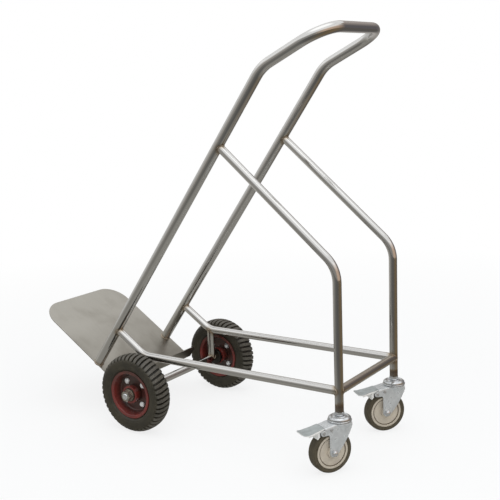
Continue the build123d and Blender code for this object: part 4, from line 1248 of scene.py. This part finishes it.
def six_sided(across, low, high, place, axis, bore=0.0, dome=0.0, turn=0.0, flat_foot=False):
    """A hexagon nut or bolt head in millimetres, its corners turned off to a cone as on a real one."""
    first, second = crossing_directions(axis)
    flat = across / 2
    inner_foot, inner_face = FOOT_SHARE * flat, FACE_SHARE * flat
    rings = []

    def ring(size_and_height):
        points = []
        for k in range(HEX_SIDES):
            angle = 2 * math.pi * k / HEX_SIDES
            from_flat = (angle + math.pi / 6) % (math.pi / 3) - math.pi / 6
            size, height = size_and_height(flat / math.cos(from_flat))
            spoke = first * math.cos(angle + turn) + second * math.sin(angle + turn)
            points.append(place + axis * (height * MM) + spoke * (size * MM))
        rings.append(points)

    if bore:
        ring(lambda corner: (bore, low))
    if flat_foot:
        ring(lambda corner: (corner, low))
    else:
        ring(lambda corner: (inner_foot, low))
        ring(lambda corner: (corner, low + (corner - inner_foot) * HEX_CHAMFER))
    ring(lambda corner: (corner, high - (corner - inner_face) * HEX_CHAMFER))
    ring(lambda corner: (inner_face, high))
    if bore:
        ring(lambda corner: (bore + BORE_CHAMFER, high))
        ring(lambda corner: (bore, high - BORE_CHAMFER))
    for k in range(1, DOME_STEPS if dome else 0):
        rise = math.pi / 2 * k / DOME_STEPS
        ring(lambda corner: (inner_face * math.cos(rise), high + dome * math.sin(rise)))
    return skin(rings, loop=bool(bore))


# %% Rim bolts and their nuts, in millimetres
THREAD_DEPTH, FLANK_SHARE, CREST_SHARE = 0.55, 0.45, 0.6
BOLT_COUNT, BOLT_CIRCLE = 4, 35.75
BOLT_TURN = {"left": 50.0, "right": 41.0}
BOLT_ACROSS, BOLT_RADIUS, BOLT_BORE, BOLT_TIP, BOLT_PITCH = 13, 4.0, 4.15, 3.0, 1.25
RIM_SHEET, HEAD_TOP, HEAD_DOME, NUT_END, TAIL_END = 2.5, 7.8, 2.4, -9.0, -12.5
SHANK_HIDDEN, THREAD_HIDDEN, TIP_LENGTH = 1.0, 0.5, 0.6
BOLT_SIDES = 24


def threads(radius, low, high, pitch):
    """The section of a screw thread between two heights, drawn as rings."""
    count = max(1, round((high - low) / pitch))
    step = (high - low) / count
    root = radius - THREAD_DEPTH * pitch
    points = []
    for k in range(count):
        start = low + k * step
        points += [(root, start), (radius, start + FLANK_SHARE * step), (radius, start + CREST_SHARE * step)]
    return points + [(root, high)]


shank = [(BOLT_RADIUS, RIM_SHEET + SHANK_HIDDEN), (BOLT_RADIUS, NUT_END + SHANK_HIDDEN)]
shank += threads(BOLT_RADIUS, TAIL_END + TIP_LENGTH, NUT_END + THREAD_HIDDEN, BOLT_PITCH)[::-1]
shank.append((BOLT_TIP, TAIL_END))
for name, wheel, place, outward in front_wheels:
    bolts, nuts = [], []
    for k in range(BOLT_COUNT):
        angle = math.radians(BOLT_TURN[name]) + 2 * math.pi * k / BOLT_COUNT
        seat = place + Vector((math.cos(angle), 0, math.sin(angle))) * (BOLT_CIRCLE * MM)
        twist = random.uniform(0, math.pi / 3)
        head = {"dome": HEAD_DOME, "turn": twist, "flat_foot": True}
        bolts.append(six_sided(BOLT_ACROSS, RIM_SHEET, HEAD_TOP - HEAD_DOME, seat, outward, **head))
        bolts.append(turned(shank, seat, outward, loop=False, sides=BOLT_SIDES))
        nuts.append(six_sided(BOLT_ACROSS, RIM_SHEET, -NUT_END, seat, -outward, bore=BOLT_BORE, turn=twist))
    bolt_mesh = skin_mesh(f"rim_bolt_set_{name}", *bolts)
    add_piece(bolt_mesh, wheel, "bright_steel", f"rim_bolts_{name}", finish="white_zinc")
    add_piece(skin_mesh(f"rim_nut_set_{name}", *nuts), wheel, "bright_steel", f"rim_nuts_{name}")

# %% [markdown]
# ## Front axle
# A steel shaft runs through the axle tube. Outside each wheel a washer and a hexagon nut hold it, and inside
# each wheel a spacer keeps it off the axle tube. The spacer is dark steel as painted shade of the wheel's
# inside. Bevelled copies of the engineering pieces could serve, but the shaft would have no thread. All of
# these are turned parts or nuts, so a section is enough for each. The thread is drawn as rings, because at
# this size nobody can see that it climbs.

# %% Shaft, spacers, washers and nuts, in millimetres
SHAFT_RADIUS, SHAFT_BORE, SHAFT_PITCH, SHAFT_SIDES = 8.0, 8.15, 2.0, 48
THREAD_IN_NUT, PLAIN_IN_NUT, THREAD_OFF_TIP = 6.0, 7.0, 1.0
TIP_CORNERS = [(6.6, -0.4), (6.0, 0.0)]
WASHER_RADIUS, WASHER_THICK, WASHER_EDGE = 15.0, 3.0, 0.8
SPACER_RADIUS, SPACER_EDGE, NOSE_RADIUS, NOSE_LENGTH = 21.0, 1.2, 12.0, 3.0
HUB_REACH = 23.4
AXLE_ACROSS, AXLE_NUT_TURN = 24, 0.25
TURNED_SOFT = 0.4
shaft_tip, nut_high, nut_low = (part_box(n)[1].y / MM for n in ("axle_shaft", "axle_nuts", "axle_washers"))
washer_low = nut_low - WASHER_THICK
spacer_low, hub_face = axle_end / MM, hub.y / MM - HUB_REACH
nose = hub_face - NOSE_LENGTH
middle = Vector((hub.x, 0, hub.z))
half_shaft = [(SHAFT_RADIUS, nut_high - PLAIN_IN_NUT)]
half_shaft += threads(SHAFT_RADIUS, nut_high - THREAD_IN_NUT, shaft_tip - THREAD_OFF_TIP, SHAFT_PITCH)
half_shaft += [(radius, shaft_tip + height) for radius, height in TIP_CORNERS]
rod = turned(other_way(half_shaft)[::-1] + half_shaft, middle, Y_WAY, loop=False, sides=SHAFT_SIDES)
add_piece(skin_mesh("axle_rod", rod), "frame", "bright_steel", "axle_shaft")
spacer_section = [
    (SHAFT_BORE, spacer_low), (SPACER_RADIUS, spacer_low, SPACER_EDGE), (SPACER_RADIUS, nose, SPACER_EDGE),
    (NOSE_RADIUS, nose), (NOSE_RADIUS, hub_face), (SHAFT_BORE, hub_face),
]
washer_section = [
    (SHAFT_BORE, washer_low), (WASHER_RADIUS, washer_low), (WASHER_RADIUS, nut_low, WASHER_EDGE),
    (SHAFT_BORE, nut_low),
]
spacers, washers, nuts = [], [], []
for side in SIDES.values():
    outward = Y_WAY * side
    spacers.append(turned(rounded_section(spacer_section, TURNED_SOFT), middle, outward))
    washers.append(turned(rounded_section(washer_section, TURNED_SOFT), middle, outward))
    nut_fit = {"bore": SHAFT_BORE, "turn": AXLE_NUT_TURN}
    nuts.append(six_sided(AXLE_ACROSS, nut_low, nut_high, middle, outward, **nut_fit))
# The spacers' dark steel is painted shade of the wheel's inside.
add_piece(skin_mesh("spacer_sleeves", *spacers), "frame", "dark_steel", "hub_spacers")
add_piece(skin_mesh("washer_discs", *washers), "frame", "bright_steel", "axle_washers", finish="dulled_steel")
add_piece(skin_mesh("axle_hex_nuts", *nuts), "frame", "bright_steel", "axle_nuts", finish="dulled_steel")
print("shaft tip", round(shaft_tip, 1), "nut", round(nut_low, 1), "to", round(nut_high, 1))

# %% [markdown]
# ## Swivel heads
# Above each caster a pressed cap covers the ball track. It is a round ring with a rolled lip at its foot, a
# crest, and a dish round the hexagon collar that clamps the stem to the leg. A bevelled copy could serve here
# too. But the lip and the crest are round all along, and a section with a radius at each corner gives that
# directly.

# %% Caps and collar nuts, in millimetres
cap_low, cap_high = (corner.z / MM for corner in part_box("swivel_caps"))
collar_low, collar_high = (corner.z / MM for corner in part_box("stem_nuts"))
STEM_BORE, COLLAR_ACROSS, COLLAR_TURN = 6.15, 19, 0.4
CAP_SOFT, CAP_CORNER_STEPS, CAP_SIDES = 0.3, 6, 80
CAP_SECTION = [
    (STEM_BORE, cap_high), (12.5, cap_high, 2.0), (16.7, cap_high - 2.4, 6.0), (20.3, cap_high, 3.2),
    (25.8, cap_high - 3.6, 6.0), (26.3, cap_low + 2.6, 0.8), (27.5, cap_low + 2.0, 0.9),
    (27.5, cap_low, 0.9), (25.0, cap_low, 0.4), (24.4, cap_low + 3.0, 1.0), (20.6, cap_high - 2.6, 2.0),
    (16.7, cap_high - 5.0, 3.0), (12.5, cap_high - 2.6, 1.0), (STEM_BORE, cap_high - 2.6),
]
cap_section = rounded_section(CAP_SECTION, CAP_SOFT, steps=CAP_CORNER_STEPS)
caps, collars = [], []
for side in SIDES.values():
    place = Vector((stem.x, side * stem.y, 0))
    caps.append(turned(cap_section, place, Z_WAY, sides=CAP_SIDES))
    collar_fit = {"bore": STEM_BORE, "turn": COLLAR_TURN}
    collars.append(six_sided(COLLAR_ACROSS, collar_low, collar_high, place, Z_WAY, **collar_fit))
add_piece(skin_mesh("cap_rings", *caps), "frame", "zinc_plate", "swivel_caps", finish="shiny_zinc")
add_piece(skin_mesh("collar_nuts", *collars), "frame", "bright_steel", "stem_nuts")
print("caps", round(cap_low, 1), "to", round(cap_high, 1))

# %% [markdown]
# ## Caster wheels
# A caster wheel is a rubber tread on a moulded core. The core has a raised rim, a groove inside it and a
# shallow disc that falls towards the hub. The engineering meshes could be bevelled, but a turned section
# gives even rings, and the distance of a ring from the axis tells whether it lies in the groove, where shade
# is painted.

# %% Treads and cores, in millimetres
TREAD_SECTION = [
    (39.15, -12.5), (46.0, -14.0, 1.5), (50.0, -9.5, 4.5), (50.0, 9.5, 4.5), (46.0, 14.0, 1.5), (39.15, 12.5),
]
CORE_HALF_SECTION = [
    (7.05, 16.6), (13.0, 16.6, 1.0), (13.0, 9.9, 1.5), (31.6, 11.3, 0.6), (31.6, 9.0, 0.3), (33.6, 9.0, 0.3),
    (33.6, 12.5, 0.7), (39.0, 12.5, 0.6),
]
TREAD_SOFT, TREAD_CORNER_STEPS, CORE_SOFT = 0.3, 6, 0.4
GROOVE_INSIDE, GROOVE_OUTSIDE = 31.5, 33.7
tread_section = rounded_section(TREAD_SECTION, TREAD_SOFT, steps=TREAD_CORNER_STEPS)
core_section = rounded_section(CORE_HALF_SECTION + other_way(CORE_HALF_SECTION)[::-1], CORE_SOFT)
caster_wheels = []
for name in SIDES:
    spin = joints[f"caster_wheel_{name}_spin"]
    caster_wheels.append((name, Vector(spin["pos_m"]), Vector(spin["axis"])))


def off_axis(point, centre, axis):
    """How far a point is from an axis, in millimetres."""
    offset = point - centre
    return (offset - axis * offset.dot(axis)).length / MM


for name, centre, across in caster_wheels:
    wheel = f"caster_wheel_{name}"
    tread = skin_mesh(f"tread_ring_{name}", turned(tread_section, centre, across, sides=LARGE_SIDES))
    add_piece(tread, wheel, "grey_rubber", f"caster_tread_{name}")
    core = skin_mesh(f"core_disc_{name}", turned(core_section, centre, across, sides=LARGE_SIDES))
    radii = [off_axis(vertex.co, centre, across) for vertex in core.vertices]
    # Rings in the groove carry where the painted shade goes.
    carry(core, "groove_shade", [float(GROOVE_INSIDE < radius < GROOVE_OUTSIDE) for radius in radii])
    add_piece(core, wheel, "cream_plastic", f"caster_core_{name}")

# %% [markdown]
# ## Caster bolts and rivets
# A bolt with a domed nut carries each caster wheel, and two rivets hold the pedal and its leaf spring in the
# fork. Their engineering shapes could stay, but small bright parts show by the light on their edges. So the
# helpers for the rim bolts make them again with their corners turned off, and each rivet gets a rounded head
# at both ends.

# %% Bolts, domed nuts and rivets, in millimetres
CHEEK_OUTSIDE, BOLT_HEAD, NUT_HEIGHT, NUT_DOME = 19.5, 5.5, 6.5, 3.2
HEAD_TURN, NUT_TURN = 0.3, 0.2
RIVET_START, RIVET_HEAD, RIVET_HEAD_RADIUS, RIVET_SIDES = 19.65, 1.3, 4.0, 32
RIVET_FOOT_EDGE, RIVET_TOP_EDGE, RIVET_SOFT, RIVET_MIDDLE = 0.2, 1.2, 0.1, 0.3
RIVETS = {"pedal_pin": 2.5, "leaf_rivet": 2.0}
head_top, nut_top = CHEEK_OUTSIDE + BOLT_HEAD, CHEEK_OUTSIDE + NUT_HEIGHT
shank = [(BOLT_RADIUS, -CHEEK_OUTSIDE - SHANK_HIDDEN), (BOLT_RADIUS, nut_top - SHANK_HIDDEN)]


def riveted(radius, place, axis):
    """A pin across both cheeks with a rounded head outside each."""
    top = RIVET_START + RIVET_HEAD
    corners = [
        (radius, RIVET_START), (RIVET_HEAD_RADIUS, RIVET_START, RIVET_FOOT_EDGE),
        (RIVET_HEAD_RADIUS, top, RIVET_TOP_EDGE), (RIVET_MIDDLE, top),
    ]
    head = rounded_section(corners, RIVET_SOFT, loop=False)
    return turned(other_way(head)[::-1] + head, place, axis, loop=False, sides=RIVET_SIDES)


for name, centre, across in caster_wheels:
    fork = f"caster_{name}"
    head = six_sided(BOLT_ACROSS, CHEEK_OUTSIDE, head_top, centre, -across, turn=HEAD_TURN, flat_foot=True)
    bolt = skin_mesh(f"wheel_bolt_{name}", head, turned(shank, centre, across, loop=False, sides=BOLT_SIDES))
    add_piece(bolt, fork, "bright_steel", f"caster_axle_bolt_{name}")
    domed = {"dome": NUT_DOME, "turn": NUT_TURN, "flat_foot": True}
    nut = six_sided(BOLT_ACROSS, CHEEK_OUTSIDE, nut_top, centre, across, **domed)
    add_piece(skin_mesh(f"domed_nut_{name}", nut), fork, "bright_steel", f"caster_axle_nut_{name}")
    for node, radius in RIVETS.items():
        low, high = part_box(f"{node}_{name}")
        pin = riveted(radius, (low + high) / 2, across)
        add_piece(skin_mesh(f"{node}_heads_{name}", pin), fork, "bright_steel", f"{node}_{name}")

# %% [markdown]
# ## Hidden pieces
# Plugs, stems, ball rings and bushes sit inside other pieces. Their engineering meshes stay and only take the
# finish of their slot.

# %% Dress the engineering nodes that stay
slot_of = {row["node"]: row["material_slot"] for row in frame["record"]["subparts"]}
for name, obj in nodes.items():
    obj.data.materials.clear()
    obj.data.materials.append(finishes[slot_of[name]])
print("nodes that stay", [name for name, obj in nodes.items() if not obj.hide_render])
